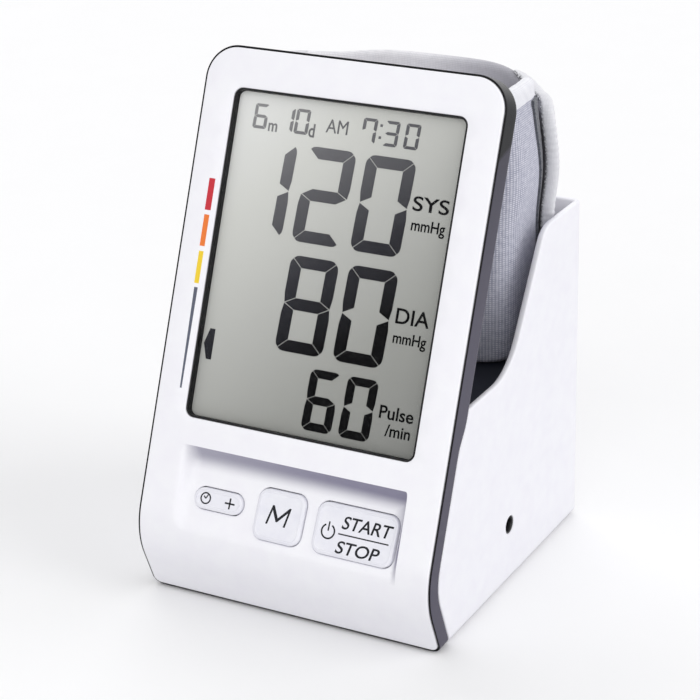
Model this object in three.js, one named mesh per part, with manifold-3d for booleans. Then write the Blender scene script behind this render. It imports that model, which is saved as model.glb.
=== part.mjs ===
// Desktop blood pressure monitor with a cuff bay, in millimetres.
// x runs to the right, y to the back and z up. The origin is on the table, under the middle.
import * as THREE from 'three';
import { mergeVertices } from 'three/addons/utils/BufferGeometryUtils.js';
import Module from 'manifold-3d';

const wasm = await Module();
wasm.setup();

const degrees = THREE.MathUtils.degToRad;

// Driving dimensions of the case
const caseWidth = 130;
const backY = 155.98; // outer face of the back wall, from where the panel plane meets the table
const underside = 1; // height of the case over the table
const lean = degrees(22.29); // panel plane, from the vertical
const topCornerRadius = 13.5;
const bottomCornerRadius = 4;
const chinLean = degrees(22); // lower face, leaning the other way
const chinFoot = 23.5; // where the lower face would meet the table
const chinRadius = 30;
const wall = 2.5;
const seam = 0.3; // gap between two parts that are fitted together

// Driving dimensions of the display half
const coverThickness = 2.4;
const rimLip = 0.8; // edge of the dark frame that shows round the front cover
const ledgeWidth = 1.1; // step in the frame that the front cover rests on
const ledgeDepth = 2;
const frameDepth = 8; // beside the base
const rearFrameDepth = 10.7; // above the base, where the frame is seen from behind
const frameFlareStart = 86.5; // along the panel, where the deeper frame begins
const frameFlareEnd = 100.5;
const rearCoverThickness = 2.2;
const grooveCount = 5; // finger grooves across the rear cover
const grooveSpan = 20;
const groovePitch = 5;
const grooveWidth = 1.6;
const grooveDepth = 0.8;
const grooveTopMargin = 20;

// Window and display, centred on x, measured along the panel
const windowSideMargin = 14.4;
const windowBottom = 81.1;
const windowHeight = 130.9;
const windowTopMargin = 16.25;
const windowRadius = 3.75;
const bezelWall = 0.7;
const bezelStep = 0.5; // narrow shelf that carries the lens
const bezelFlange = 7.5; // beyond the window on every side
const bezelFlangeThickness = 1.3;
const bezelRecess = 0.4; // depth of the bezel's edge below the panel face
const lensDepth = 0.8;
const lensThickness = 1;
const lcdThickness = 2;
const lcdOverlap = 3; // glass beyond the window on every side
const boardThickness = 1.2;
const boardMargin = 2.5; // board edge inside the frame wall
const boardTopMargin = 5.5;
const boardStart = 3; // above the button board
const chips = [ // left edge, width, height and thickness on the back of the board
  [-12, 14, 10, 1.6],
  [14, 8, 6, 1.4],
];
const postRadius = 2;
const bezelPostRadius = 1.6;
const postInset = 2.5; // post centre from the flange edge

// Scooped recess for the buttons
const scoopLeftMargin = 15.8; // from the side of the case
const scoopRightMargin = 14.6;
const scoopTop = 70.2;
const scoopFloorTop = 64.2; // where the floor ends and the cove begins
const scoopBottom = 36.2;
const scoopDepth = 4;
const scoopCornerRadius = 5;
const scoopMargin = 3; // material left round the recess

// Buttons: centre x, centre along the panel, width, height, corner radius
const buttonTop = 59.9;
const rockerShare = 22; // the three buttons share the row in these proportions
const memoryShare = 21;
const startShare = 35;
const startHeight = 20;
const startMargin = 2.5; // between the button and the right wall of the recess
const memoryGap = 5.5; // between the two square buttons
const buttonRadius = 4.2;
const rockerHeight = 8.4;
const rockerMargin = 8; // between the rocker and the left wall of the recess
const rockerGap = 6.5; // between the rocker and the next button
const rockerY = 50.7;
const buttonProud = 0.9; // above the floor of the recess
const buttonGap = 0.4;
const buttonTravel = 0.6;
const buttonFlange = 1.2; // rim behind the cover that keeps the button in
const buttonFlangeThickness = 1;
const buttonSkin = 1.4; // thickness of a hollow button
const buttonStemRadius = 1.6;
const rockerTabHalf = 2.5;
const switchSize = 6;
const switchHeight = 3.2;
const switchPlungerRadius = 1.7;
const switchPlungerHeight = 0.9;
const buttonBoardDepth = 13.2; // front face of the board, below the panel plane
const buttonBoardMargin = 13; // from the side of the case
const buttonBoardBottom = 30;
const buttonBoardTop = 74;
const sensorMargin = 17; // sensor and buzzer on the back of the button board, from its ends
const partRow = 49;
const sensorSize = 10;
const sensorNozzle = 1.5;
const buzzerRadius = 6;
const buzzerHeight = 4.5;

// Base and cuff bay
const rearCornerRadius = 3;
const bayFloorTop = 86.8;
const bayFloorThickness = 2.3;
const sideCutHeight = 92.3;
const sweepStart = 73; // where the side edge starts to climb, from the panel datum
const sweepLowerRadius = 26;
const sweepUpperRadius = 12;
const sweepSlope = degrees(56.8);
const bayWallTop = 142.2;
const floorLedgeHeight = 2.5;
const floorLedgeWidth = 2.5;
const baseLip = 3.7; // shelf of the case round the base cover
const baseLipHeight = 2.5;
const baseThickness = 2.2;

// Feet, screws and their posts, as distances from the middle and from the datum
const footRadius = 5;
const footHeight = 2.1;
const footRecess = 1.4;
const fastenerMargin = 15; // from the side of the case
const footFrontY = 48;
const footRearY = 142;
const screwFrontY = 62;
const screwRearY = 128;
const screwHeadRadius = 2.7;
const screwHeadHeight = 1;
const screwSink = 0.1; // head below the face of the base cover
const screwShankRadius = 1.4;
const screwLength = 12;
const screwPostRadius = 4;
const screwPostTop = 30;
const webHalf = 1.2;
const screwClearance = 0.3;
const crossReach = 1.6; // recess in the screw head
const crossHalf = 0.35;
const crossDepth = 0.7;

// Battery bay for four AA cells, side by side
const cellRadius = 7.1;
const cellBodyLength = 49.2;
const cellNubRadius = 2.7;
const cellNubLength = 1.2;
const cellPitch = 15;
const cellCount = 4;
const bayCentreY = 100;
const bayWall = 1.6;
const contactThickness = 0.6;
const contactHeight = 9;
const contactStudRadius = 3;
const contactSpace = 2.4; // room for a contact and its spring at each end
const doorThickness = 2;
const doorTabWidth = 9;
const doorTabReach = 2.2;
const doorTabThickness = 0.9;
const doorTabX = 17;
const latchWidth = 14;
const latchLength = 9;
const slitWidth = 0.8;
const gripDepth = 0.9; // finger groove in the tongue

// Pump, valve and air line
const motorRadius = 12;
const motorLength = 32;
const motorBossRadius = 3;
const motorX = 13;
const motorY = 101;
const pumpRadius = 13;
const pumpLength = 18;
const nippleRadius = 2.2;
const nippleLength = 5;
const valveRadius = 7;
const valveLength = 20;
const valveX = -2;
const valveY = 124;
const saddleThickness = 3;
const saddleFloor = 2; // least material under what a saddle carries
const hoseRadius = 3.2;
const hoseBore = 1.6;
const hoseLead = 5; // straight run at each end of the air line
const hoseBend = 2; // room at the corners of the branch
const hoseSteps = 10;

// Sockets on the two sides of the case
const socketY = 86.6;
const socketZ = 26.4;
const dcHoleRadius = 3.2;
const dcBoreRadius = 3.1;
const dcBodyWidth = 9.6;
const dcBodyLength = 14;
const dcPinRadius = 1;
const dcPinLength = 8;
const dcPinRecess = 2; // pin tip behind the mouth
const airCollarRadius = 4.8;
const airBoreRadius = 3.2;
const airBoreDepth = 14;
const airSpigotReach = 7;
const airFlangeRadius = 7.5;
const airFlangeThickness = 1.6;

// Rolled cuff: a padded strip wound into an oval, standing on the bay floor
const cuffHeight = 111;
const cuffThickness = 5.2;
const cuffSideMargin = 5.7; // from the side of the case to the middle of the outer turn
const cuffHalfDepth = 26.3;
const cuffCentreY = 122;
const cuffSquareness = 3.4; // exponent of the oval
const cuffTurnDistance = 6.3; // how far a turn lies inside the one before
const cuffTurns = 1.82;
const cuffFreeEnd = degrees(15); // where the outer turn ends, from the right-hand side
const cuffSoftEdge = 1.3;
const cuffStep = 7; // length of one side of the winding
const pocketThickness = 2.4;
const pocketStart = 0.12; // in turns from the free end
const pocketEnd = 0.9;
const pocketStep = 3.5; // length of one side of the pocket and of the bladder in it
const bladderThickness = 1.8;
const bladderMargin = 10; // closed strip above the bladder
const bladderInset = 0.006; // in turns, at each end of the pocket
const bladderLift = 0.8;
const hookPatchThickness = 0.7;
const hookPatchStart = 0.955; // in turns, under the free end
const hookPatchEnd = 0.996; // in turns
const hookPatchBottomMargin = 4;
const hookPatchTopMargin = 8;
const hookPatchStep = 3;
const bindingRadius = 1.5;

// Values that follow from the driving dimensions
const halfWidth = caseWidth / 2;
const windowWidth = caseWidth - 2 * windowSideMargin;
const panelTop = windowBottom + windowHeight + windowTopMargin; // along the panel, from the table
const scoopLeft = scoopLeftMargin - halfWidth;
const scoopRight = halfWidth - scoopRightMargin;
const buttonRoom = scoopRight - scoopLeft - rockerMargin - rockerGap - memoryGap - startMargin;
const buttonUnit = buttonRoom / (rockerShare + memoryShare + startShare);
const rockerWidth = rockerShare * buttonUnit;
const memoryWidth = memoryShare * buttonUnit;
const startWidth = startShare * buttonUnit;
const startX = scoopRight - startMargin - startWidth / 2;
const memoryX = startX - startWidth / 2 - memoryGap - memoryWidth / 2;
const rockerX = scoopLeft + rockerMargin + rockerWidth / 2;
const buttonBoardWidth = caseWidth - 2 * buttonBoardMargin;
const sensorX = buttonBoardWidth / 2 - sensorMargin;
const fastenerX = halfWidth - fastenerMargin;
const cuffHalfWidth = halfWidth - cuffSideMargin;
const cosLean = Math.cos(lean);
const sinLean = Math.sin(lean);
const chinSum = Math.sin(lean + chinLean);
const chinReach = chinRadius + Math.cos(chinLean) * chinFoot;
const chinY = (chinRadius * Math.sin(chinLean) + sinLean * chinReach) / chinSum;
const chinZ = (cosLean * chinReach - Math.cos(chinLean) * chinRadius) / chinSum;
const frontY = chinY - chinRadius;
const chinSteps = 12;
const cornerSegments = 3; // a quarter turn gets twice as many sides
const sweepSegments = 5;
const reach = 300; // longer than the whole case, for cutting tools
const overlap = 0.3; // how far joined forms run into each other
const joint = 0.05; // how far cuts that continue each other overlap

// Materials
function finish(colour, roughness, metalness = 0, extra = {}) {
  return new THREE.MeshStandardMaterial({ color: colour, roughness, metalness, ...extra });
}
const glossWhite = finish('#f1f1f6', 0.18);
const satinWhite = finish('#eeeef4', 0.35);
const frameDark = finish('#625f6e', 0.22, 0.35);
const rearDark = finish('#4a4953', 0.45);
const bezelBlack = finish('#08080a', 0.3);
const bayDark = finish('#161a26', 0.5);
const lensClear = finish('#eef2f0', 0.05, 0, { transparent: true, opacity: 0.25 });
const lcdGrey = finish('#c9cbc4', 0.3);
const boardGreen = finish('#1f5a3a', 0.5);
const switchGrey = finish('#2b2b2e', 0.5);
const buttonWhite = finish('#ecebf2', 0.3);
const footRubber = finish('#3a3a3e', 0.85);
const steel = finish('#b9bbc0', 0.3, 1);
const cellSleeve = finish('#5c6f7d', 0.35, 0.4);
const pumpBlack = finish('#26262a', 0.5);
const hoseSilicone = finish('#d8d8d2', 0.6);
const socketBlack = finish('#121214', 0.4);
const cuffFabric = finish('#a9adbe', 0.9);
const bladderRubber = finish('#4d4f58', 0.7);
const hookGrey = finish('#55585e', 0.95);
const bindingWhite = finish('#f0f0f2', 0.8);

// Solids: a closed mesh becomes a solid, and a solid becomes a mesh
function solidFrom(geometry) {
  geometry.deleteAttribute('normal');
  geometry.deleteAttribute('uv');
  const merged = mergeVertices(geometry, 1e-5);
  return new wasm.Manifold(new wasm.Mesh({
    numProp: 3,
    vertProperties: new Float32Array(merged.attributes.position.array),
    triVerts: new Uint32Array(merged.index.array),
  }));
}

function geometryFrom(solid) {
  const mesh = solid.getMesh();
  const positions = new Float32Array(mesh.numVert * 3);
  for (let i = 0; i < mesh.numVert; i += 1) {
    for (let k = 0; k < 3; k += 1) {
      positions[i * 3 + k] = mesh.vertProperties[i * mesh.numProp + k];
    }
  }
  const geometry = new THREE.BufferGeometry();
  geometry.setAttribute('position', new THREE.BufferAttribute(positions, 3));
  geometry.setIndex(new THREE.BufferAttribute(new Uint32Array(mesh.triVerts), 1));
  geometry.computeVertexNormals();
  return geometry;
}

const assembly = new THREE.Group();

function addPart(name, solid, material) {
  const mesh = new THREE.Mesh(geometryFrom(solid), material);
  mesh.name = name;
  assembly.add(mesh);
}

// Frames: the panel frame has x across, y into the case and z up the leaning panel
const caseFrame = new THREE.Matrix4();
const panelFrame = new THREE.Matrix4().makeRotationX(-lean);
const sideways = new THREE.Matrix4().makeBasis(
  new THREE.Vector3(0, 1, 0),
  new THREE.Vector3(0, 0, 1),
  new THREE.Vector3(1, 0, 0),
);

// Prism of a (y, z) outline, from x0 to x1
function sidePrism(shape, x0, x1, frame = caseFrame) {
  const geometry = new THREE.ExtrudeGeometry(shape, {
    depth: x1 - x0, bevelEnabled: false, curveSegments: sweepSegments,
  });
  geometry.applyMatrix4(sideways);
  geometry.translate(x0, 0, 0);
  return solidFrom(geometry.applyMatrix4(frame));
}

// Prism of an (x, z) outline, from y0 to y1
function frontPrism(shape, y0, y1, frame = caseFrame) {
  const geometry = new THREE.ExtrudeGeometry(shape, {
    depth: y1 - y0, bevelEnabled: false, curveSegments: cornerSegments,
  });
  geometry.rotateX(Math.PI / 2);
  geometry.translate(0, y1, 0);
  return solidFrom(geometry.applyMatrix4(frame));
}

// Prism of an (x, y) outline, from z0 to z1
function planPrism(shape, z0, z1) {
  const geometry = new THREE.ExtrudeGeometry(shape, {
    depth: z1 - z0, bevelEnabled: false, curveSegments: cornerSegments,
  });
  geometry.translate(0, 0, z0);
  return solidFrom(geometry);
}

function box(x0, x1, y0, y1, z0, z1, frame = caseFrame) {
  const geometry = new THREE.BoxGeometry(x1 - x0, y1 - y0, z1 - z0);
  geometry.translate((x0 + x1) / 2, (y0 + y1) / 2, (z0 + z1) / 2);
  return solidFrom(geometry.applyMatrix4(frame));
}

// Round bar along one axis, from a start point
function bar(radius, length, axis, start, frame = caseFrame, sides = 24) {
  const geometry = new THREE.CylinderGeometry(radius, radius, length, sides);
  if (axis === 'x') geometry.rotateZ(Math.PI / 2);
  if (axis === 'z') geometry.rotateX(Math.PI / 2);
  const half = { x: [length / 2, 0, 0], y: [0, length / 2, 0], z: [0, 0, length / 2] }[axis];
  geometry.translate(start[0] + half[0], start[1] + half[1], start[2] + half[2]);
  return solidFrom(geometry.applyMatrix4(frame));
}

function roundedRect(x0, x1, z0, z1, radius) {
  const shape = new THREE.Shape();
  shape.absarc(x1 - radius, z1 - radius, radius, 0, Math.PI / 2);
  shape.absarc(x0 + radius, z1 - radius, radius, Math.PI / 2, Math.PI);
  shape.absarc(x0 + radius, z0 + radius, radius, Math.PI, 1.5 * Math.PI);
  shape.absarc(x1 - radius, z0 + radius, radius, 1.5 * Math.PI, 2 * Math.PI);
  shape.closePath();
  return shape;
}

function polygon(points) {
  return new THREE.Shape(points.map(([a, b]) => new THREE.Vector2(a, b)));
}

// Side view of the front: points on the surface, sunk by a depth, from the underside to the top
function onPanel(along, depth) {
  return [along * sinLean + depth * cosLean, along * cosLean - depth * sinLean];
}

function onChinFace(height, depth) {
  const along = (height - depth * Math.sin(chinLean)) / Math.cos(chinLean);
  return [chinFoot + depth * Math.cos(chinLean) - along * Math.sin(chinLean), height];
}

function chinArc(depth) {
  const points = [];
  for (let i = 0; i <= chinSteps; i += 1) {
    const turn = (lean + chinLean) * (1 - i / chinSteps) - lean;
    const radius = chinRadius - depth;
    points.push([chinY - radius * Math.cos(turn), chinZ - radius * Math.sin(turn)]);
  }
  return points;
}

function frontLine(depth, top = panelTop) {
  return [onChinFace(underside, depth), ...chinArc(depth), onPanel(top, depth)];
}

// Slice of the case between two depths below the front surface
function frontSlice(from, to, halfSpan = halfWidth + 1) {
  const outline = [...frontLine(from), ...frontLine(to).reverse()];
  return sidePrism(polygon(outline), -halfSpan, halfSpan);
}

// Front view of the case, drawn in by an inset: round at the top along the panel's own
// direction, and round at the bottom along the table
function frontOutline(inset) {
  const side = halfWidth - inset;
  const top = Math.max(topCornerRadius - inset, 1);
  const bottom = Math.max(bottomCornerRadius - inset, 0.8);
  const upperShape = roundedRect(-side, side, -reach / 2, panelTop - inset, top);
  const upper = frontPrism(upperShape, -reach, reach, panelFrame);
  const lower = frontPrism(roundedRect(-side, side, underside + inset, reach, bottom), -reach, reach);
  return upper.intersect(lower);
}

// Seam between the dark frame and the base: it steps back smoothly near the side cut
function frameRearLine(extra) {
  const steps = 8;
  const points = frontLine(frameDepth + extra, frameFlareStart);
  for (let i = 1; i <= steps; i += 1) {
    const t = i / steps;
    const blend = t * t * (3 - 2 * t);
    const depth = frameDepth + extra + blend * (rearFrameDepth - frameDepth);
    points.push(onPanel(frameFlareStart + t * (frameFlareEnd - frameFlareStart), depth));
  }
  return points;
}

// Dark frame: a ring that carries the front cover and closes against the rear cover
function displayFrame() {
  const rear = [...frameRearLine(0), onPanel(panelTop, rearFrameDepth)];
  const outline = [...frontLine(0), ...rear.reverse()];
  const coverSeat = coverThickness + seam;
  const ledgeInset = wall + ledgeWidth;
  return sidePrism(polygon(outline), -halfWidth - 1, halfWidth + 1)
    .intersect(frontOutline(0))
    .subtract(frontSlice(-5, coverSeat).intersect(frontOutline(rimLip)))
    .subtract(frontSlice(coverSeat - joint, coverSeat + ledgeDepth).intersect(frontOutline(ledgeInset)))
    .subtract(frontSlice(coverSeat + ledgeDepth - joint, chinRadius - wall).intersect(frontOutline(wall)));
}

// Scooped recess: a floor that fades into the chin at the bottom and a cove at the top
function chinDepthAt(along) {
  const tangent = chinY * sinLean + chinZ * cosLean;
  const drop = Math.max(tangent - along, 0);
  return chinRadius - Math.sqrt(chinRadius ** 2 - drop ** 2);
}

const scoopStartDepth = chinDepthAt(scoopBottom);

function scoopFloorDepth(along) {
  const slope = (scoopDepth - scoopStartDepth) / (scoopFloorTop - scoopBottom);
  return scoopStartDepth + slope * (along - scoopBottom);
}

function scoopProfile() {
  const points = [[scoopStartDepth, scoopBottom], [scoopDepth, scoopFloorTop]];
  const steps = 6;
  for (let i = 1; i <= steps; i += 1) {
    const turn = (i / steps) * (Math.PI / 2);
    const depth = scoopDepth * Math.cos(turn);
    points.push([depth, scoopFloorTop + (scoopTop - scoopFloorTop) * Math.sin(turn)]);
  }
  points.push([-20, scoopTop], [-20, scoopBottom - 6], [scoopStartDepth - 2, scoopBottom - 6]);
  return polygon(points);
}

function scoopCutter() {
  const plan = roundedRect(scoopLeft, scoopRight, 0, scoopTop, scoopCornerRadius);
  return sidePrism(scoopProfile(), scoopLeft, scoopRight, panelFrame)
    .intersect(frontPrism(plan, -reach, reach, panelFrame));
}

// Buttons in the panel frame
const startButton = {
  x: startX, z: buttonTop - startHeight / 2, width: startWidth, height: startHeight, radius: buttonRadius,
};
const memoryButton = {
  x: memoryX, z: buttonTop - startHeight / 2, width: memoryWidth, height: startHeight, radius: buttonRadius,
};
const rockerButton = {
  x: rockerX, z: rockerY, width: rockerWidth, height: rockerHeight, radius: rockerHeight / 2,
};
const buttons = [startButton, memoryButton, rockerButton];
const switchFace = buttonBoardDepth - seam - switchHeight - switchPlungerHeight;
const buttonRear = switchFace - buttonTravel - seam;
const coverBack = scoopDepth + coverThickness; // behind the recess

function buttonShape({ x, z, width, height, radius }, grow) {
  const w = width / 2 + grow;
  const h = height / 2 + grow;
  return roundedRect(x - w, x + w, z - h, z + h, Math.min(radius + grow, h - 0.01));
}

const rimFront = coverBack + seam;
const rimBack = rimFront + buttonFlangeThickness;
const rockerSwitchOffset = rockerWidth / 2 - switchSize / 2 - 0.6;

// Hollow pad with a stem for each switch; its face runs along the floor of the recess
function buttonPad(button, stems) {
  const above = polygon([
    [scoopFloorDepth(0) - buttonProud, 0],
    [scoopFloorDepth(2 * scoopDepth + scoopTop) - buttonProud, 2 * scoopDepth + scoopTop],
    [-reach, 2 * scoopDepth + scoopTop],
    [-reach, 0],
  ]);
  const hollowFront = scoopFloorDepth(button.z + button.height / 2) - buttonProud + buttonSkin;
  let solid = frontPrism(buttonShape(button, 0), -5, rimBack, panelFrame)
    .subtract(frontPrism(buttonShape(button, -buttonSkin), hollowFront, rimBack + 1, panelFrame));
  for (const x of stems) {
    const start = [x, hollowFront - 0.3, button.z];
    solid = solid.add(bar(buttonStemRadius, buttonRear - hollowFront + 0.3, 'y', start, panelFrame, 12));
  }
  return solid.subtract(sidePrism(above, -halfWidth, halfWidth, panelFrame));
}

// A push button is kept in by a rim behind the cover
function pushButton(button) {
  const rim = frontPrism(buttonShape(button, buttonFlange), rimFront, rimBack, panelFrame)
    .subtract(frontPrism(buttonShape(button, -buttonSkin), rimFront - 1, rimBack + 1, panelFrame));
  return buttonPad(button, [button.x]).add(rim);
}

// The rocker turns on two tabs, above and below its middle
function rockerPad() {
  const { x, z, height } = rockerButton;
  const tab = height / 2 + buttonFlange;
  const tabs = box(x - rockerTabHalf, x + rockerTabHalf, rimFront, rimBack, z - tab, z + tab, panelFrame)
    .subtract(frontPrism(buttonShape(rockerButton, -buttonSkin), rimFront - 1, rimBack + 1, panelFrame));
  return buttonPad(rockerButton, [x - rockerSwitchOffset, x + rockerSwitchOffset]).add(tabs);
}

// Front cover: a thin shell with the window, the recess, the button holes and board posts
const boardPostX = buttonBoardWidth / 2 - 3;
const boardPostRows = [buttonBoardBottom + 3, buttonBoardTop - 3];

function frontCover() {
  let solid = frontSlice(0, coverThickness).intersect(frontOutline(rimLip + seam));
  const backing = box(
    scoopLeft - scoopMargin, scoopRight + scoopMargin, coverThickness - 0.5, coverBack,
    scoopBottom - scoopMargin, scoopTop + scoopMargin, panelFrame,
  ).intersect(frontSlice(coverThickness / 2, 14));
  solid = solid.add(backing);
  for (const z of boardPostRows) {
    for (const x of [-boardPostX, boardPostX]) {
      const length = buttonBoardDepth - seam - coverThickness / 2;
      const post = bar(postRadius, length, 'y', [x, coverThickness / 2, z], panelFrame, 16);
      solid = solid.add(post.intersect(frontSlice(coverThickness / 2, chinRadius - wall)));
    }
  }
  const half = windowWidth / 2;
  const windowShape = roundedRect(-half, half, windowBottom, windowBottom + windowHeight, windowRadius);
  solid = solid.subtract(frontPrism(windowShape, -5, 10, panelFrame)).subtract(scoopCutter());
  for (const button of buttons) {
    solid = solid.subtract(frontPrism(buttonShape(button, buttonGap), -5, 15, panelFrame));
  }
  return solid;
}

// Stack behind the window, each layer placed from the one in front of it
const flangeFront = coverThickness + seam;
const flangeBack = flangeFront + bezelFlangeThickness;
const lcdFront = flangeBack + seam;
const boardFront = lcdFront + lcdThickness + 2 * seam;
const windowMiddle = windowBottom + windowHeight / 2;

function windowRect(grow, radius) {
  const w = windowWidth / 2 + grow;
  const h = windowHeight / 2 + grow;
  return roundedRect(-w, w, windowMiddle - h, windowMiddle + h, radius);
}

function lcdBezel() {
  const upstand = frontPrism(windowRect(-seam, windowRadius - seam), bezelRecess, flangeBack, panelFrame);
  const flange = frontPrism(windowRect(bezelFlange, 2), flangeFront, flangeBack, panelFrame);
  const lensSeat = bezelWall + seam;
  const stepDepth = lensDepth + lensThickness + seam;
  let solid = upstand.add(flange)
    .subtract(frontPrism(windowRect(-lensSeat, windowRadius - lensSeat), -1, stepDepth, panelFrame))
    .subtract(frontPrism(
      windowRect(-lensSeat - bezelStep, windowRadius - lensSeat - bezelStep), 1, 10, panelFrame,
    ));
  const x = windowWidth / 2 + bezelFlange - postInset;
  const dz = windowHeight / 2 + bezelFlange - postInset;
  for (const [sx, sz] of [[-1, -1], [1, -1], [-1, 1], [1, 1]]) {
    const start = [sx * x, flangeBack - 0.3, windowMiddle + sz * dz];
    const length = boardFront - seam - flangeBack + 0.3;
    solid = solid.add(bar(bezelPostRadius, length, 'y', start, panelFrame, 12));
  }
  return solid;
}

function windowLens() {
  const inset = bezelWall + 2 * seam;
  const outline = windowRect(-inset, windowRadius - inset);
  return frontPrism(outline, lensDepth, lensDepth + lensThickness, panelFrame);
}

function lcdPanel() {
  return frontPrism(windowRect(lcdOverlap, 0.5), lcdFront, lcdFront + lcdThickness, panelFrame);
}

// Display board, with two chips on the part that reaches below the rear cover
function mainBoard() {
  const x = halfWidth - wall - boardMargin;
  const bottom = buttonBoardTop + boardStart;
  const top = panelTop - wall - boardTopMargin;
  const back = boardFront + boardThickness;
  let solid = frontPrism(roundedRect(-x, x, bottom, top, 3), boardFront, back, panelFrame);
  for (const [left, width, height, thickness] of chips) {
    const chip = [left, left + width, back - overlap, back + thickness];
    solid = solid.add(box(...chip, bottom + 2, bottom + 2 + height, panelFrame));
  }
  return solid;
}

// Rear cover of the display: its lower edge meets the bay floor
const floorUnder = bayFloorTop - bayFloorThickness;
const rearCoverBottom = (floorUnder + rearFrameDepth * sinLean) / cosLean;

function rearCover() {
  const side = halfWidth - wall - seam;
  const top = panelTop - wall - seam;
  const front = rearFrameDepth - rearCoverThickness;
  const outline = roundedRect(-side, side, 0, top, topCornerRadius - wall - seam);
  const keep = box(-reach, reach, -reach, reach, rearCoverBottom, reach, panelFrame);
  let solid = frontPrism(outline, front, rearFrameDepth, panelFrame).intersect(keep);
  for (let i = 0; i < grooveCount; i += 1) {
    const z = top - grooveTopMargin - i * groovePitch;
    solid = solid.subtract(box(
      -grooveSpan, grooveSpan, rearFrameDepth - grooveDepth, rearFrameDepth + 1,
      z - grooveWidth, z, panelFrame,
    ));
  }
  return solid;
}

// Plan view of the base, drawn in by an inset, open towards the front
function basePlan(inset) {
  const side = halfWidth - inset;
  const back = backY - inset;
  const radius = Math.max(rearCornerRadius - inset, 0.8);
  const shape = new THREE.Shape();
  shape.moveTo(-side, -reach);
  shape.lineTo(side, -reach);
  shape.absarc(side - radius, back - radius, radius, 0, Math.PI / 2);
  shape.absarc(-side + radius, back - radius, radius, Math.PI / 2, Math.PI);
  shape.closePath();
  return shape;
}

// Side view of the base: the seam, the low edge, the sweep up and the back wall
function baseSideShape() {
  const cutAlong = (sideCutHeight + (rearFrameDepth + seam) * sinLean) / cosLean;
  const seamLine = frameRearLine(seam).filter(([, z]) => z < sideCutHeight - 0.2);
  const start = onPanel(cutAlong, rearFrameDepth + seam);
  const flat = 1 - Math.cos(sweepSlope);
  const rise = bayWallTop - sideCutHeight - (sweepLowerRadius + sweepUpperRadius) * flat;
  const upperY = sweepStart + (sweepLowerRadius + sweepUpperRadius) * Math.sin(sweepSlope)
    + rise / Math.tan(sweepSlope);
  const shape = polygon([...seamLine, start]);
  shape.absarc(
    sweepStart, sideCutHeight + sweepLowerRadius, sweepLowerRadius,
    -Math.PI / 2, -Math.PI / 2 + sweepSlope,
  );
  shape.absarc(
    upperY, bayWallTop - sweepUpperRadius, sweepUpperRadius,
    Math.PI / 2 + sweepSlope, Math.PI / 2, true,
  );
  shape.lineTo(backY, bayWallTop);
  shape.lineTo(backY, underside);
  shape.closePath();
  return shape;
}

const screwPlaces = [screwFrontY, screwRearY].flatMap((y) => [[-fastenerX, y], [fastenerX, y]]);
const footPlaces = [footFrontY, footRearY].flatMap((y) => [[-fastenerX, y], [fastenerX, y]]);
const baseTop = underside + baseThickness;

// Base case: sides and back in one piece, with a shelf for the bay floor, screw posts
// joined to the walls, and the two socket holes
function bodyShell() {
  const lower = frontPrism(
    roundedRect(-halfWidth, halfWidth, underside, reach, bottomCornerRadius), -reach, reach,
  );
  const lipTop = underside + baseLipHeight;
  let solid = sidePrism(baseSideShape(), -halfWidth - 1, halfWidth + 1)
    .intersect(planPrism(basePlan(0), 0, reach))
    .intersect(lower)
    .subtract(planPrism(basePlan(wall), lipTop, reach))
    .subtract(planPrism(basePlan(wall + baseLip), -1, lipTop + 1));
  const shelfTop = floorUnder - seam;
  const shelf = planPrism(basePlan(wall - 0.5), shelfTop - floorLedgeHeight, shelfTop)
    .subtract(planPrism(basePlan(wall + floorLedgeWidth), shelfTop - reach, shelfTop + 1))
    .intersect(box(-reach, reach, sweepStart, backY - 1, 0, reach));
  solid = solid.add(shelf);
  const postStart = baseTop + seam;
  for (const [x, y] of screwPlaces) {
    const length = screwPostTop - postStart;
    const inner = Math.sign(x) * (halfWidth - wall / 2);
    const ends = [Math.min(x, inner), Math.max(x, inner)];
    const web = box(...ends, y - webHalf, y + webHalf, postStart, screwPostTop);
    const holeRadius = screwShankRadius + screwClearance;
    const hole = bar(holeRadius, screwLength + 2, 'z', [x, y, postStart - 1], caseFrame, 16);
    solid = solid.add(bar(screwPostRadius, length, 'z', [x, y, postStart])).add(web).subtract(hole);
  }
  const dcHole = bar(dcHoleRadius, 2 * wall, 'x', [halfWidth - wall - 1, socketY, socketZ]);
  const airHole = bar(airCollarRadius + seam, 2 * wall, 'x', [-halfWidth - 1, socketY, socketZ]);
  return solid.subtract(dcHole).subtract(airHole);
}

// Bay floor: a flat tray bottom that lies on the shelf and meets the rear cover
function bayFloor() {
  const depth = rearFrameDepth + seam;
  const along = (height) => (height + depth * sinLean) / cosLean;
  const outline = polygon([
    onPanel(along(floorUnder), depth),
    onPanel(along(bayFloorTop), depth),
    [backY, bayFloorTop],
    [backY, floorUnder],
  ]);
  return sidePrism(outline, -halfWidth, halfWidth).intersect(planPrism(basePlan(wall + seam), 0, reach));
}

// Battery bay in the base cover, and its cells
const cellRest = underside + doorThickness + seam;
const cellCentreZ = cellRest + seam + cellRadius;
const cellLength = cellBodyLength + cellNubLength;
const bayHalfLength = cellLength / 2 + contactSpace;
const bayHalfDepth = (cellCount * cellPitch) / 2 + 0.5;
const bayCeiling = cellCentreZ + cellRadius + 0.5;
const bayTop = bayCeiling + bayWall;
const doorHalfX = bayHalfLength - 1;
const doorFront = bayCentreY - bayHalfDepth + 1;
const doorRear = bayCentreY + bayHalfDepth - 1;
const motorZ = bayTop + saddleFloor + motorRadius + seam;
const valveZ = bayTop + saddleFloor + valveRadius + seam;

function saddle(x, y, z, radius) {
  const block = box(x - saddleThickness / 2, x + saddleThickness / 2, y - radius, y + radius,
    bayTop - 0.5, z - radius * 0.45);
  return block.subtract(bar(radius + seam, saddleThickness + 2, 'x', [x - saddleThickness / 2 - 1, y, z]));
}

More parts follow.
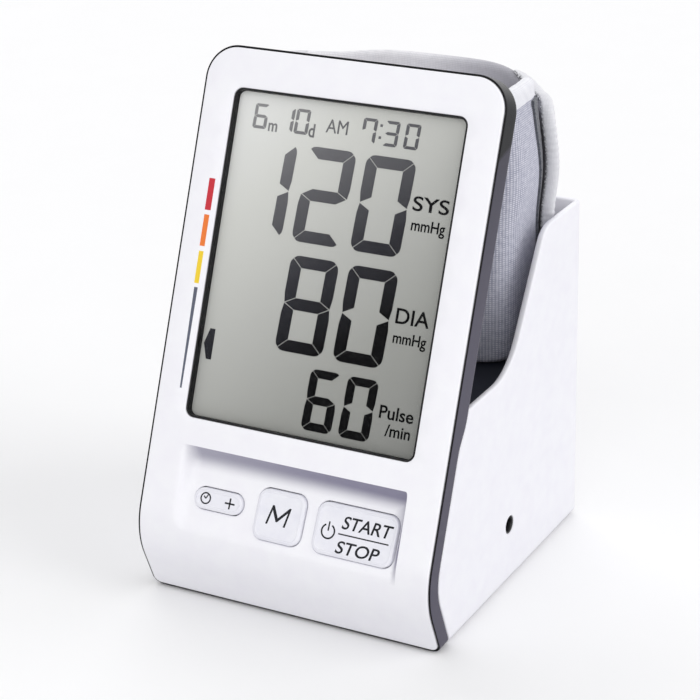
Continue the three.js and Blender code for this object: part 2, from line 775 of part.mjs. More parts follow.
function baseCover() {
  const span = halfWidth + 1;
  const rear = [[backY, bayFloorTop], [backY, underside]];
  const behindFrame = polygon([...frontLine(frameDepth + seam, bayFloorTop), ...rear]);
  let solid = planPrism(basePlan(wall + baseLip + seam), underside, baseTop)
    .intersect(sidePrism(behindFrame, -span, span));
  solid = solid.add(box(
    -bayHalfLength - bayWall, bayHalfLength + bayWall,
    bayCentreY - bayHalfDepth - bayWall, bayCentreY + bayHalfDepth + bayWall, underside, bayTop,
  ));
  for (const x of [motorX - motorLength / 4, motorX + motorLength / 4]) {
    solid = solid.add(saddle(x, motorY, motorZ, motorRadius));
  }
  for (const x of [valveX - valveLength / 4, valveX + valveLength / 4]) {
    solid = solid.add(saddle(x, valveY, valveZ, valveRadius));
  }
  const doorSlot = box(
    -doorHalfX - buttonGap, doorHalfX + buttonGap, doorFront - buttonGap, doorRear + buttonGap,
    underside - 1, cellRest,
  );
  const hollow = box(
    -bayHalfLength, bayHalfLength, bayCentreY - bayHalfDepth, bayCentreY + bayHalfDepth,
    cellRest - 0.5, bayCeiling,
  );
  solid = solid.subtract(doorSlot).subtract(hollow);
  for (const x of [-doorTabX, doorTabX]) {
    const half = doorTabWidth / 2 + buttonGap;
    solid = solid.subtract(box(
      x - half, x + half, doorFront - doorTabReach - 2 * buttonGap, doorFront + 1,
      underside + doorThickness - doorTabThickness - seam, cellRest + 2.2,
    ));
  }
  for (const [x, y] of screwPlaces) {
    const start = [x, y, underside - 2];
    const sink = 2 + screwSink + screwHeadHeight + screwClearance;
    solid = solid
      .subtract(bar(screwShankRadius + screwClearance, 10, 'z', start, caseFrame, 16))
      .subtract(bar(screwHeadRadius + screwClearance, sink, 'z', start, caseFrame, 20));
  }
  for (const [x, y] of footPlaces) {
    solid = solid.subtract(bar(footRadius + seam, footRecess + 2, 'z', [x, y, underside - 2]));
  }
  return solid;
}

// Battery door: a plate that turns on two tabs and is held by a spring tongue
function batteryDoor() {
  let solid = box(-doorHalfX, doorHalfX, doorFront, doorRear, underside, underside + doorThickness);
  const top = underside + doorThickness;
  for (const x of [-doorTabX, doorTabX]) {
    solid = solid.add(box(
      x - doorTabWidth / 2, x + doorTabWidth / 2, doorFront - doorTabReach, doorFront + 1,
      top - doorTabThickness, top,
    ));
  }
  for (const x of [-latchWidth / 2, latchWidth / 2 - slitWidth]) {
    solid = solid.subtract(box(x, x + slitWidth, doorRear - latchLength, doorRear + 1, 0, 10));
  }
  const gripHalf = latchWidth / 2 - 2 * slitWidth;
  const gripY = doorRear - latchLength / 3;
  return solid.subtract(box(-gripHalf, gripHalf, gripY, gripY + 2 * slitWidth, 0, underside + gripDepth));
}

function cellY(index) {
  return bayCentreY + (index - (cellCount - 1) / 2) * cellPitch;
}

function dryCell(index) {
  const direction = index % 2 === 0 ? 1 : -1;
  const bodyX = direction > 0 ? -cellLength / 2 : cellLength / 2 - cellBodyLength;
  const nubX = direction > 0 ? bodyX + cellBodyLength - overlap : -cellLength / 2;
  const start = [nubX, cellY(index), cellCentreZ];
  const nub = bar(cellNubRadius, cellNubLength + overlap, 'x', start, caseFrame, 16);
  return bar(cellRadius, cellBodyLength, 'x', [bodyX, cellY(index), cellCentreZ]).add(nub);
}

// Contact strip at one end of the bay, with a coned spring or a stud for every cell
function contactStrip(side) {
  const outer = side * (bayHalfLength - seam);
  const inner = outer - side * contactThickness;
  const span = bayHalfDepth - 0.6;
  let solid = box(
    Math.min(outer, inner), Math.max(outer, inner), bayCentreY - span, bayCentreY + span,
    cellCentreZ - contactHeight / 2, cellCentreZ + contactHeight / 2,
  );
  const length = contactSpace - contactThickness - 2 * seam;
  const start = side > 0 ? inner - length : inner - overlap;
  for (let i = 0; i < cellCount; i += 1) {
    const stud = bar(contactStudRadius, length + overlap, 'x', [start, cellY(i), cellCentreZ], caseFrame, 12);
    solid = solid.add(stud);
  }
  return solid;
}

function foot([x, y]) {
  return bar(footRadius, footHeight, 'z', [x, y, 0]);
}

function screw([x, y]) {
  const headZ = underside + screwSink;
  const slot = (a, b) => box(x - a, x + a, y - b, y + b, headZ - 1, headZ + crossDepth);
  const cross = slot(crossReach, crossHalf).add(slot(crossHalf, crossReach));
  return bar(screwHeadRadius, screwHeadHeight, 'z', [x, y, headZ], caseFrame, 20)
    .add(bar(screwShankRadius, screwLength, 'z', [x, y, headZ + 0.5], caseFrame, 16))
    .subtract(cross);
}

// Button board, its switches and the parts that stand on its back
const boardBack = buttonBoardDepth + boardThickness;

function buttonBoard() {
  const side = buttonBoardWidth / 2;
  return frontPrism(
    roundedRect(-side, side, buttonBoardBottom, buttonBoardTop, 2), buttonBoardDepth, boardBack, panelFrame,
  );
}

function tactSwitch(x, z) {
  const half = switchSize / 2;
  const back = buttonBoardDepth - seam;
  const body = box(x - half, x + half, back - switchHeight, back, z - half, z + half, panelFrame);
  const start = [x, back - switchHeight - switchPlungerHeight, z];
  return body.add(bar(switchPlungerRadius, switchPlungerHeight + 0.2, 'y', start, panelFrame, 16));
}

function pressureSensor() {
  const y = boardBack + seam;
  const half = sensorSize / 2;
  const body = box(sensorX - half, sensorX + half, y, y + half, partRow - half, partRow + half, panelFrame);
  return body.add(bar(sensorNozzle, half, 'y', [sensorX, y + half - overlap, partRow], panelFrame, 12));
}

function buzzer() {
  return bar(buzzerRadius, buzzerHeight, 'y', [-sensorX, boardBack + seam, partRow], panelFrame);
}

// Pump, valve and the line that joins them to the air socket
const pumpX = motorX - motorLength / 2 - seam - pumpLength;
const socketInnerX = -halfWidth + airBoreDepth + airSpigotReach;

function pumpMotor() {
  const start = [motorX + motorLength / 2 - overlap, motorY, motorZ];
  const shaftBoss = bar(motorBossRadius, 2, 'x', start, caseFrame, 16);
  return bar(motorRadius, motorLength, 'x', [motorX - motorLength / 2, motorY, motorZ]).add(shaftBoss);
}

function pumpHead() {
  const start = [pumpX - nippleLength + overlap, motorY, motorZ];
  const nipple = bar(nippleRadius, nippleLength, 'x', start, caseFrame, 16);
  return bar(pumpRadius, pumpLength, 'x', [pumpX, motorY, motorZ]).add(nipple);
}

function releaseValve() {
  const nose = valveX - valveLength / 2 - nippleLength + overlap;
  const nipple = bar(nippleRadius, nippleLength, 'x', [nose, valveY, valveZ], caseFrame, 16);
  return bar(valveRadius, valveLength, 'x', [valveX - valveLength / 2, valveY, valveZ]).add(nipple);
}

function tubeAlong(points, radius) {
  const section = new THREE.Shape().absarc(0, 0, radius, 0, 2 * Math.PI);
  const path = new THREE.CatmullRomCurve3(points.map((p) => new THREE.Vector3(...p)), false, 'centripetal');
  return solidFrom(new THREE.ExtrudeGeometry(section, {
    steps: hoseSteps, extrudePath: path, curveSegments: 4, bevelEnabled: false,
  }));
}

function airLine() {
  const socket = [socketInnerX + seam, socketY, socketZ];
  const pump = [pumpX - nippleLength - seam + overlap, motorY, motorZ];
  const valve = [valveX - valveLength / 2 - nippleLength - seam + overlap, valveY, valveZ];
  const fork = [pump[0] - hoseLead, motorY, motorZ];
  const middle = [fork[0] - hoseBend / 2, (motorY + valveY) / 2, (motorZ + valveZ) / 2];
  const mainPath = [socket, [socket[0] + hoseLead, socketY, socketZ], fork, pump];
  const branchPath = [fork, middle, [pump[0] - hoseBend, valveY, valveZ], valve];
  const outer = tubeAlong(mainPath, hoseRadius).add(tubeAlong(branchPath, hoseRadius));
  const bore = tubeAlong(mainPath, hoseBore).add(tubeAlong(branchPath, hoseBore));
  return outer.subtract(bore);
}

// Power socket: a block with a round bore and a pin, behind its hole in the right side
function dcSocket() {
  const face = halfWidth - wall - seam;
  const half = dcBodyWidth / 2;
  const bottom = face - dcPinRecess - dcPinLength;
  const bore = bar(dcBoreRadius, dcPinLength + 2 * dcPinRecess, 'x', [bottom, socketY, socketZ]);
  const pin = bar(dcPinRadius, dcPinLength + 1, 'x', [bottom - 1, socketY, socketZ], caseFrame, 12);
  return box(face - dcBodyLength, face, socketY - half, socketY + half, socketZ - half, socketZ + half)
    .subtract(bore).add(pin);
}

// Air socket: a collar in the left side with a flange behind the wall and a spigot inside
function airSocket() {
  const outerX = -halfWidth + 0.2;
  const flangeX = -halfWidth + wall + seam;
  const collar = bar(airCollarRadius, airBoreDepth + 2, 'x', [outerX, socketY, socketZ]);
  const flange = bar(airFlangeRadius, airFlangeThickness, 'x', [flangeX, socketY, socketZ]);
  const spigot = bar(nippleRadius, socketInnerX - outerX - airBoreDepth, 'x',
    [outerX + airBoreDepth, socketY, socketZ], caseFrame, 16);
  const bore = bar(airBoreRadius, airBoreDepth + 1, 'x', [outerX - 1, socketY, socketZ]);
  return collar.add(flange).add(spigot).subtract(bore);
}

// Cuff: the middle line of the winding is an oval that shrinks steadily from its free end
function cuffPoint(turns) {
  const angle = cuffFreeEnd + turns * 2 * Math.PI;
  const power = 2 / cuffSquareness;
  const c = Math.cos(angle);
  const s = Math.sin(angle);
  const shrink = turns * cuffTurnDistance;
  return new THREE.Vector2(
    (cuffHalfWidth - shrink) * Math.sign(c) * Math.abs(c) ** power,
    cuffCentreY + (cuffHalfDepth - shrink) * Math.sign(s) * Math.abs(s) ** power,
  );
}

// Middle points at even steps of length, each with its outward normal
function cuffLine(from, to, step) {
  const fine = 900;
  const samples = [];
  for (let i = 0; i <= fine; i += 1) samples.push(cuffPoint(from + ((to - from) * i) / fine));
  const lengths = [0];
  for (let i = 1; i <= fine; i += 1) {
    lengths.push(lengths[i - 1] + samples[i].distanceTo(samples[i - 1]));
  }
  const count = Math.max(Math.round(lengths[fine] / step), 2);
  const line = [];
  let k = 1;
  for (let j = 0; j <= count; j += 1) {
    const target = (lengths[fine] * j) / count;
    while (k < fine && lengths[k] < target) k += 1;
    const mix = (target - lengths[k - 1]) / (lengths[k] - lengths[k - 1]);
    const point = samples[k - 1].clone().lerp(samples[k], mix);
    const along = samples[k].clone().sub(samples[k - 1]).normalize();
    line.push({ point, normal: new THREE.Vector2(along.y, -along.x) });
  }
  return line;
}

// Strip of the winding between two offsets from its middle line, standing from z0 to z1
function cuffStrip(from, to, inner, outer, z0, z1, softEdge = 0, step = cuffStep) {
  const line = cuffLine(from, to, step);
  const side = (offset) => line.map(({ point, normal }) => point.clone().addScaledVector(normal, offset));
  const outline = new THREE.Shape([...side(outer), ...side(inner).reverse()]);
  const geometry = new THREE.ExtrudeGeometry(outline, {
    depth: z1 - z0 - 2 * softEdge,
    bevelEnabled: softEdge > 0,
    bevelSize: softEdge,
    bevelThickness: softEdge,
    bevelOffset: -softEdge,
    bevelSegments: 1,
  });
  geometry.translate(0, 0, z0 + softEdge);
  return solidFrom(geometry);
}

const cuffBottom = bayFloorTop + seam;
const cuffTop = cuffBottom + cuffHeight;

function cuffSleeve() {
  const half = cuffThickness / 2;
  const pocket = pocketThickness / 2;
  return cuffStrip(0, cuffTurns, -half, half, cuffBottom, cuffTop, cuffSoftEdge)
    .subtract(cuffStrip(
      pocketStart, pocketEnd, -pocket, pocket, cuffBottom - 1, cuffTop - bladderMargin, 0, pocketStep,
    ));
}

function cuffBladder() {
  const half = bladderThickness / 2;
  const [start, end] = [pocketStart + bladderInset, pocketEnd - bladderInset];
  const top = cuffTop - bladderMargin - seam;
  return cuffStrip(start, end, -half, half, cuffBottom + bladderLift, top, 0, pocketStep);
}

// Patch of hook tape on the turn below, just in front of the free end
function cuffHookPatch() {
  const inner = cuffThickness / 2 + seam;
  return cuffStrip(
    hookPatchStart, hookPatchEnd, inner, inner + hookPatchThickness,
    cuffBottom + hookPatchBottomMargin, cuffTop - hookPatchTopMargin, 0, hookPatchStep,
  );
}

// Bound edge that runs down the free end
function cuffBinding() {
  const [{ point, normal }] = cuffLine(0, 0.02, 2);
  const along = new THREE.Vector2(normal.y, -normal.x);
  const centre = point.clone().addScaledVector(along, bindingRadius + seam);
  const shape = new THREE.Shape().absellipse(
    centre.x, centre.y, cuffThickness / 2, bindingRadius, 0, 2 * Math.PI, false,
    Math.atan2(normal.y, normal.x),
  );
  return planPrism(shape, cuffBottom + 0.5, cuffTop - 0.5);
}

addPart('display_frame', displayFrame(), frameDark);
addPart('front_cover', frontCover(), glossWhite);
addPart('lcd_bezel', lcdBezel(), bezelBlack);
addPart('window_lens', windowLens(), lensClear);
addPart('lcd_panel', lcdPanel(), lcdGrey);
addPart('main_board', mainBoard(), boardGreen);
addPart('display_rear_cover', rearCover(), rearDark);
addPart('body_shell', bodyShell(), satinWhite);
addPart('bay_floor', bayFloor(), bayDark);
addPart('base_cover', baseCover(), satinWhite);
addPart('battery_door', batteryDoor(), satinWhite);
for (let i = 0; i < cellCount; i += 1) addPart(`aa_cell_${i + 1}`, dryCell(i), cellSleeve);
addPart('battery_contact_left', contactStrip(-1), steel);
addPart('battery_contact_right', contactStrip(1), steel);
footPlaces.forEach((place, i) => addPart(`rubber_foot_${i + 1}`, foot(place), footRubber));
screwPlaces.forEach((place, i) => addPart(`base_screw_${i + 1}`, screw(place), steel));
addPart('start_stop_button', pushButton(startButton), buttonWhite);
addPart('memory_button', pushButton(memoryButton), buttonWhite);
addPart('set_plus_rocker', rockerPad(), buttonWhite);
addPart('button_board', buttonBoard(), boardGreen);
addPart('start_switch', tactSwitch(startButton.x, startButton.z), switchGrey);
addPart('memory_switch', tactSwitch(memoryButton.x, memoryButton.z), switchGrey);
addPart('set_switch', tactSwitch(rockerX - rockerSwitchOffset, rockerY), switchGrey);
addPart('plus_switch', tactSwitch(rockerX + rockerSwitchOffset, rockerY), switchGrey);
addPart('pressure_sensor', pressureSensor(), switchGrey);
addPart('buzzer', buzzer(), socketBlack);
addPart('pump_motor', pumpMotor(), steel);
addPart('pump_head', pumpHead(), pumpBlack);
addPart('release_valve', releaseValve(), steel);
addPart('air_line', airLine(), hoseSilicone);
addPart('dc_socket', dcSocket(), socketBlack);
addPart('air_socket', airSocket(), socketBlack);
addPart('cuff_sleeve', cuffSleeve(), cuffFabric);
addPart('cuff_bladder', cuffBladder(), bladderRubber);
addPart('cuff_hook_patch', cuffHookPatch(), hookGrey);
addPart('cuff_edge_binding', cuffBinding(), bindingWhite);

// The whole part is moved so that the origin lies under the middle of its outline
assembly.position.y = -(frontY + backY) / 2;
assembly.updateMatrixWorld(true);

export default assembly;
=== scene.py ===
# %% [markdown]
# # A desktop blood pressure monitor with a cuff bay
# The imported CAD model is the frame: every piece below is placed by its numbers and rides on
# one of its bodies. Shapes are worked out in millimetres with numpy, in the same measures as
# the CAD model, and scaled once to metres when a mesh is made.

import bmesh
import bpy
import numpy as np
from mathutils import Matrix, Vector
from mathutils.geometry import delaunay_2d_cdt


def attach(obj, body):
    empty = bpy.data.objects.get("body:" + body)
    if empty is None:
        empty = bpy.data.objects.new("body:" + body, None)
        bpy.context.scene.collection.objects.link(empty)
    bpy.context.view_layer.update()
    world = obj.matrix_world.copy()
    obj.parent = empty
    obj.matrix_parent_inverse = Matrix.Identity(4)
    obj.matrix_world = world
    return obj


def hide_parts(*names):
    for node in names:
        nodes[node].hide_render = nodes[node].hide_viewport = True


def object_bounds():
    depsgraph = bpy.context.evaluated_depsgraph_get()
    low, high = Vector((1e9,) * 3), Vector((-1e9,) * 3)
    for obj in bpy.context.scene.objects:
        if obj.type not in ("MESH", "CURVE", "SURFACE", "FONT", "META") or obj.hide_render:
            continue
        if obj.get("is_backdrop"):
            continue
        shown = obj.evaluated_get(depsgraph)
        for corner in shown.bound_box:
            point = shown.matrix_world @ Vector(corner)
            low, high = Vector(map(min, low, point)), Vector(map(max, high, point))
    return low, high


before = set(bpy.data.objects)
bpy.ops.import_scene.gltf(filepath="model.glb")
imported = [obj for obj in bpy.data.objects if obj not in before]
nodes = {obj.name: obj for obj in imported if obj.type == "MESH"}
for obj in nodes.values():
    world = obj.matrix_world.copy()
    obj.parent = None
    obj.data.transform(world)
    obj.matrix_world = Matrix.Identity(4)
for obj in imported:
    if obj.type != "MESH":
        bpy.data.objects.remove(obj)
cad_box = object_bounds()

# %% [markdown]
# The front of the case is one bent sheet: a flat panel that leans back, a round chin, and a
# short lower face that leans the other way. Three numbers and two angles fix it, so every
# piece on the front can be placed by its distance along the sheet and its depth below it.

# %% Sizes of the case, in millimetres
CASE_HALF = 65.0
BACK_Y = 155.98
UNDERSIDE = 0.35  # clear of the table by less than the feet stand out
LEAN = np.radians(22.29)
PANEL_TOP = 228.25
CHIN_LEAN = np.radians(22)
CHIN_FOOT = 23.5
CHIN_RADIUS = 30.0
LEVEL_OVER = 6.0  # length of the lower face over which a depth comes to run level
SIN, COS = np.sin(LEAN), np.cos(LEAN)
CHIN_SIN, CHIN_COS = np.sin(CHIN_LEAN), np.cos(CHIN_LEAN)
CHIN_TURN = LEAN + CHIN_LEAN
chin_reach = CHIN_RADIUS + CHIN_COS * CHIN_FOOT
CHIN_Y = (CHIN_RADIUS * CHIN_SIN + SIN * chin_reach) / np.sin(CHIN_TURN)
CHIN_Z = (COS * chin_reach - CHIN_COS * CHIN_RADIUS) / np.sin(CHIN_TURN)
ORIGIN_Y = (CHIN_Y - CHIN_RADIUS + BACK_Y) / 2
TANGENT = CHIN_Y * SIN + CHIN_Z * COS  # where the panel starts to bend
ARC_END = TANGENT - CHIN_RADIUS * CHIN_TURN
BOTTOM = ARC_END - (CHIN_Z - CHIN_RADIUS * CHIN_SIN - UNDERSIDE) / CHIN_COS
print("panel bends at", round(TANGENT, 2), "and ends at", round(BOTTOM, 2))


def panel_point(x, along, depth):
    """Point at x, a distance along the flat panel and a depth square to it."""
    return np.stack([x, along * SIN + depth * COS, along * COS - depth * SIN], axis=-1)


def front_point(along, depth):
    """(y, z) of a point on the bent front. On the panel it is along * up + depth * inward.
    On the chin the radius less the depth turns about the chin's centre. On the lower face
    the depth runs level, so that an edge cut along the table stays level."""
    along, depth = np.broadcast_arrays(np.asarray(along, float), np.asarray(depth, float))
    turn = np.clip((TANGENT - along) / CHIN_RADIUS, 0, CHIN_TURN)
    past = np.maximum(ARC_END - along, 0)
    slide = past + depth * np.clip(past / LEVEL_OVER, 0, 1) * np.tan(CHIN_LEAN)
    radius = CHIN_RADIUS - depth
    flat = along >= TANGENT
    y = CHIN_Y - radius * np.cos(LEAN - turn) + slide * CHIN_SIN
    z = CHIN_Z + radius * np.sin(LEAN - turn) - slide * CHIN_COS
    return (np.where(flat, along * SIN + depth * COS, y),
            np.where(flat, along * COS - depth * SIN, z))


# %% [markdown]
# Every mesh is made by one function from an array of points in millimetres. It shifts them
# to the frame's origin, scales them to metres, shades them smooth, and keeps edges sharper
# than forty degrees crisp.

# %% Mesh helpers
MM = 0.001
SHARP = np.radians(40)


def in_scene(name, data):
    """New object in the scene's own collection."""
    made = bpy.data.objects.new(name, data)
    bpy.context.scene.collection.objects.link(made)
    return made


def new_piece(name, points, faces, sharp=SHARP):
    """Object from points in millimetres and faces as index rows, in the frame's metres."""
    placed = (np.asarray(points, float) - (0, ORIGIN_Y, 0)) * MM
    mesh = bpy.data.meshes.new(name)
    mesh.from_pydata(placed.tolist(), [], [list(map(int, face)) for face in faces])
    mesh.validate()
    work = bmesh.new()
    work.from_mesh(mesh)
    bmesh.ops.recalc_face_normals(work, faces=work.faces)
    work.to_mesh(mesh)
    work.free()
    mesh.shade_smooth()
    mesh.set_sharp_from_angle(angle=sharp)
    return in_scene(name, mesh)


def evaluated_mesh(piece):
    """Mesh of an object with its modifiers, or its text, worked out."""
    bpy.context.view_layer.update()
    graph = bpy.context.evaluated_depsgraph_get()
    return bpy.data.meshes.new_from_object(piece.evaluated_get(graph))


def vertices_of(mesh):
    """Vertex positions of a mesh, a row each."""
    rows = np.empty(len(mesh.vertices) * 3)
    mesh.vertices.foreach_get("co", rows)
    return rows.reshape(-1, 3)


def grid_faces(rows, columns, close_rows=False, close_columns=False):
    """Quads of a grid of rows by columns, numbered row by row."""
    r = np.arange(rows if close_rows else rows - 1)
    c = np.arange(columns if close_columns else columns - 1)
    a, b = [m.ravel() for m in np.meshgrid(r, c, indexing="ij")]
    up, right = (a + 1) % rows, (b + 1) % columns
    return np.stack([a * columns + b, a * columns + right,
                     up * columns + right, up * columns + b], axis=1)


def tube(name, grid, sharp=SHARP):
    """Piece from an array of rings of points: the rings are joined, the end rings filled."""
    count, per = grid.shape[:2]
    faces = grid_faces(count, per, False, True).tolist()
    faces += [list(range(per))[::-1], list(range((count - 1) * per, count * per))]
    return new_piece(name, grid.reshape(-1, 3), faces, sharp)


def smooth_step(value):
    """S curve t * t * (3 - 2 t) of a value held between 0 and 1."""
    t = np.clip(value, 0, 1)
    return t * t * (3 - 2 * t)


def quarter_round(share):
    """Rise of a quarter circle, sqrt(1 - (1 - t)^2), for a share t of its width."""
    return np.sqrt(np.clip(1 - (1 - np.clip(share, 0, 1)) ** 2, 0, 1))


def rounded_loop(x0, x1, z0, z1, radius, step):
    """Closed anticlockwise outline of a rectangle with round corners, as points a step apart."""
    count = max(int(np.ceil(radius * np.pi / 2 / step)), 6)
    points = []
    for cx, cz, start in ((x1 - radius, z0 + radius, -0.5), (x1 - radius, z1 - radius, 0.0),
                          (x0 + radius, z1 - radius, 0.5), (x0 + radius, z0 + radius, 1.0)):
        turn = np.pi * (start + 0.5 * np.arange(count + 1) / count)
        points.append(np.stack([cx + radius * np.cos(turn), cz + radius * np.sin(turn)], axis=1))
    loop = np.concatenate(points)
    gap = np.roll(loop, -1, axis=0) - loop
    filled = []
    for corner, way, length in zip(loop, gap, np.hypot(*gap.T)):
        if length > 1e-6:
            share = np.linspace(0, 1, max(int(length / step), 1), endpoint=False)
            filled.append(corner + way * share[:, None])
    return np.concatenate(filled)


def loop_normals(loop):
    """Unit vectors to the left of an anticlockwise loop's direction, so into its inside."""
    along = np.roll(loop, -1, axis=0) - np.roll(loop, 1, axis=0)
    along /= np.hypot(*along.T)[:, None]
    return np.stack([-along[:, 1], along[:, 0]], axis=1)


def inside(points, loop):
    """Whether each point lies in a loop: a level line to its right is crossed oddly often."""
    a, b = loop, np.roll(loop, -1, axis=0)
    z = points[:, 1, None]
    crosses = (a[:, 1] > z) != (b[:, 1] > z)
    rise = np.where(b[:, 1] == a[:, 1], 1e-12, b[:, 1] - a[:, 1])
    at = a[:, 0] + (z - a[:, 1]) * (b[:, 0] - a[:, 0]) / rise
    return (np.sum(crosses & (points[:, 0, None] < at), axis=1) % 2) == 1


def fillet(radius, steps=4):
    """Insets and drops of a quarter round: inset r(1 - cos t), drop r(1 - sin t)."""
    turn = np.linspace(0, np.pi / 2, steps + 1)
    return radius * (1 - np.cos(turn)), radius * (1 - np.sin(turn))


# %% [markdown]
# A moulded cover is a flat outline with holes, pushed into shape. The outline is triangulated
# together with rings of points beside every edge and a grid inside, and each point then gets
# its depth from a formula. The rings carry the round of the edges, so no bevel is needed and
# the holes stay exact.

# %% Moulded plates
CLEARANCE = 0.35  # between the rings beside an edge and the grid inside


def moulded_plate(name, outer, holes, extra_points, extra_rings, front, back):
    """Closed plate. outer and holes are (loop, insets, drops); front and back turn arrays of
    (x, along, drop) into points. The sides join the outermost rings of front and back."""
    flat, drops, edges, rims = [], [], [], []
    total = 0
    keep = np.ones(len(extra_points), bool)
    for index, (loop, insets, falls) in enumerate([outer] + holes):
        normal = loop_normals(loop) * (1 if index == 0 else -1)
        rims.append(total + np.arange(len(loop)))
        for inset, fall in zip(insets, falls):
            ids = total + np.arange(len(loop))
            flat.append(loop + normal * inset)
            drops.append(np.full(len(loop), fall))
            edges.append(np.stack([ids, np.roll(ids, -1)], axis=1))
            total += len(loop)
        guard = loop + normal * (insets[-1] + CLEARANCE)
        keep &= inside(extra_points, guard) == (index == 0)
    for line in extra_rings:
        ids = total + np.arange(len(line))
        flat.append(line)
        drops.append(np.zeros(len(line)))
        edges.append(np.stack([ids[:-1], ids[1:]], axis=1))
        total += len(line)
    flat.append(extra_points[keep])
    drops.append(np.zeros(int(keep.sum())))
    flat, drops, edges = np.concatenate(flat), np.concatenate(drops), np.concatenate(edges)
    result = delaunay_2d_cdt([Vector(p) for p in flat.tolist()], edges.tolist(), [], 0, 1e-6)
    verts = np.array([v[:] for v in result[0]])
    origin = np.array([o[0] if o else -1 for o in result[3]])
    drop = np.where(origin >= 0, drops[np.maximum(origin, 0)], 0.0)
    new_id = np.full(len(flat), -1)
    for v, sources in enumerate(result[3]):
        new_id[list(sources)] = v
    triangles = np.array([f for f in result[2] if len(f) == 3])
    centre = verts[triangles].mean(axis=1)
    keep = inside(centre, outer[0])
    for loop, _, _ in holes:
        keep &= ~inside(centre, loop)
    triangles = triangles[keep]
    a, b, c = (verts[triangles[:, k]] for k in range(3))
    (bx, bz), (cx, cz) = (b - a).T, (c - a).T
    turned_over = bx * cz - bz * cx < 0
    triangles[turned_over] = triangles[turned_over][:, ::-1]
    count = len(verts)
    points = np.concatenate([front(*verts.T, drop), back(*verts.T)])
    walls = []
    for index, ids in enumerate(rims):
        loop = new_id[ids]
        following = np.roll(loop, -1)
        wall = np.stack([loop, loop + count, following + count, following], axis=1)
        walls.append(wall if index == 0 else wall[:, ::-1])
    walls = np.concatenate(walls)
    flats = np.concatenate([triangles, triangles[:, ::-1] + count])
    used, packed = np.unique(np.concatenate([flats.ravel(), walls.ravel()]), return_inverse=True)
    faces = packed[:flats.size].reshape(-1, 3).tolist()
    faces += packed[flats.size:].reshape(-1, 4).tolist()
    return new_piece(name, points[used], faces)


def field(x0, x1, z0, z1, step_x, step_z):
    """Grid of points over a rectangle, every other row shifted by half a step."""
    rows = np.arange(z0, z1, step_z)
    x, z = np.meshgrid(np.arange(x0, x1, step_x), rows)
    x = x + (np.arange(len(rows)) % 2)[:, None] * step_x / 2
    return np.stack([x.ravel(), z.ravel()], axis=1)


# %% [markdown]
# ## Materials
# Each one starts from what the real thing is made of. One function turns the hex colour that
# a paint chart would give into the linear numbers that Blender wants, and one adds a node
# with its settings and links. Short helpers on top of it say what a node is there for.

# %% Material helpers
def linear(hex_colour):
    """sRGB hex to linear: c / 12.92 below 0.04045, else ((c + 0.055) / 1.055) ** 2.4."""
    value = np.array([int(hex_colour[i:i + 2], 16) for i in (1, 3, 5)]) / 255
    flat = np.where(value <= 0.04045, value / 12.92, ((value + 0.055) / 1.055) ** 2.4)
    return (*flat.tolist(), 1.0)


def add(owner, kind, inputs=None, **settings):
    """Outputs of a new shader node. inputs maps its sockets to values or to other outputs."""
    tree = owner.node_tree
    made = tree.nodes.new("ShaderNode" + kind)
    for key, value in settings.items():
        setattr(made, key, value)
    for key, value in (inputs or {}).items():
        if isinstance(value, bpy.types.NodeSocket):
            tree.links.new(value, made.inputs[key])
        else:
            made.inputs[key].default_value = value
    return made.outputs


def calc(owner, operation, *values):
    """A sum, product or the like of two or three values."""
    return add(owner, "Math", dict(enumerate(values)), operation=operation)["Value"]


def spread(owner, value, low, high, to_low=0.0, to_high=1.0):
    """The value carried from one range to another, and held at its ends."""
    return add(owner, "MapRange", {"Value": value, "From Min": low, "From Max": high,
                                   "To Min": to_low, "To Max": to_high})["Result"]


def mix(owner, share, first, second, blend="MIX"):
    """Colour from the first at share 0 to the second at share 1."""
    return add(owner, "Mix", {0: share, 6: first, 7: second}, data_type="RGBA",
               blend_type=blend)[2]


def ramp(owner, factor, stops):
    """Colour ramp over a factor, from (position, hex colour) stops."""
    colour = add(owner, "ValToRGB", {"Fac": factor})["Color"]
    elements = colour.node.color_ramp.elements
    while len(elements) < len(stops):
        elements.new(0.5)
    for element, (position, shade) in zip(elements, stops):
        element.position = position
        element.color = linear(shade)
    return colour


def noise(owner, where, size_mm, detail):
    """Cloudy noise whose clouds are about the given size."""
    return add(owner, "TexNoise", {"Vector": where, "Scale": 1 / (size_mm * MM),
                                   "Detail": detail})["Fac"]


def new_material(name, roughness, **sockets):
    """Principled material; returns it, its shader's inputs, and its object coordinates."""
    material = bpy.data.materials.new(name)
    material.use_nodes = True
    shader = material.node_tree.nodes["Principled BSDF"].inputs
    shader["Roughness"].default_value = roughness
    for key, value in sockets.items():
        shader[key.replace("_", " ")].default_value = value
    return material, shader, add(material, "TexCoord")["Object"]


def link(owner, output, socket):
    """Joins an output to an input socket, which may be the material's own shader's."""
    owner.node_tree.links.new(output, socket)


def emboss(material, shader, height, depth_mm, strength=1.0):
    """Lifts the surface by a height, at most by the depth."""
    bump = add(material, "Bump", {"Strength": strength, "Distance": depth_mm * MM,
                                  "Height": height})
    link(material, bump["Normal"], shader["Normal"])


def overlay(material, share, colour, blend="MIX"):
    """Mixes a colour over the one that the material has."""
    base = material.node_tree.nodes["Principled BSDF"].inputs["Base Color"]
    link(material, mix(material, share, base.links[0].from_socket, colour, blend), base)


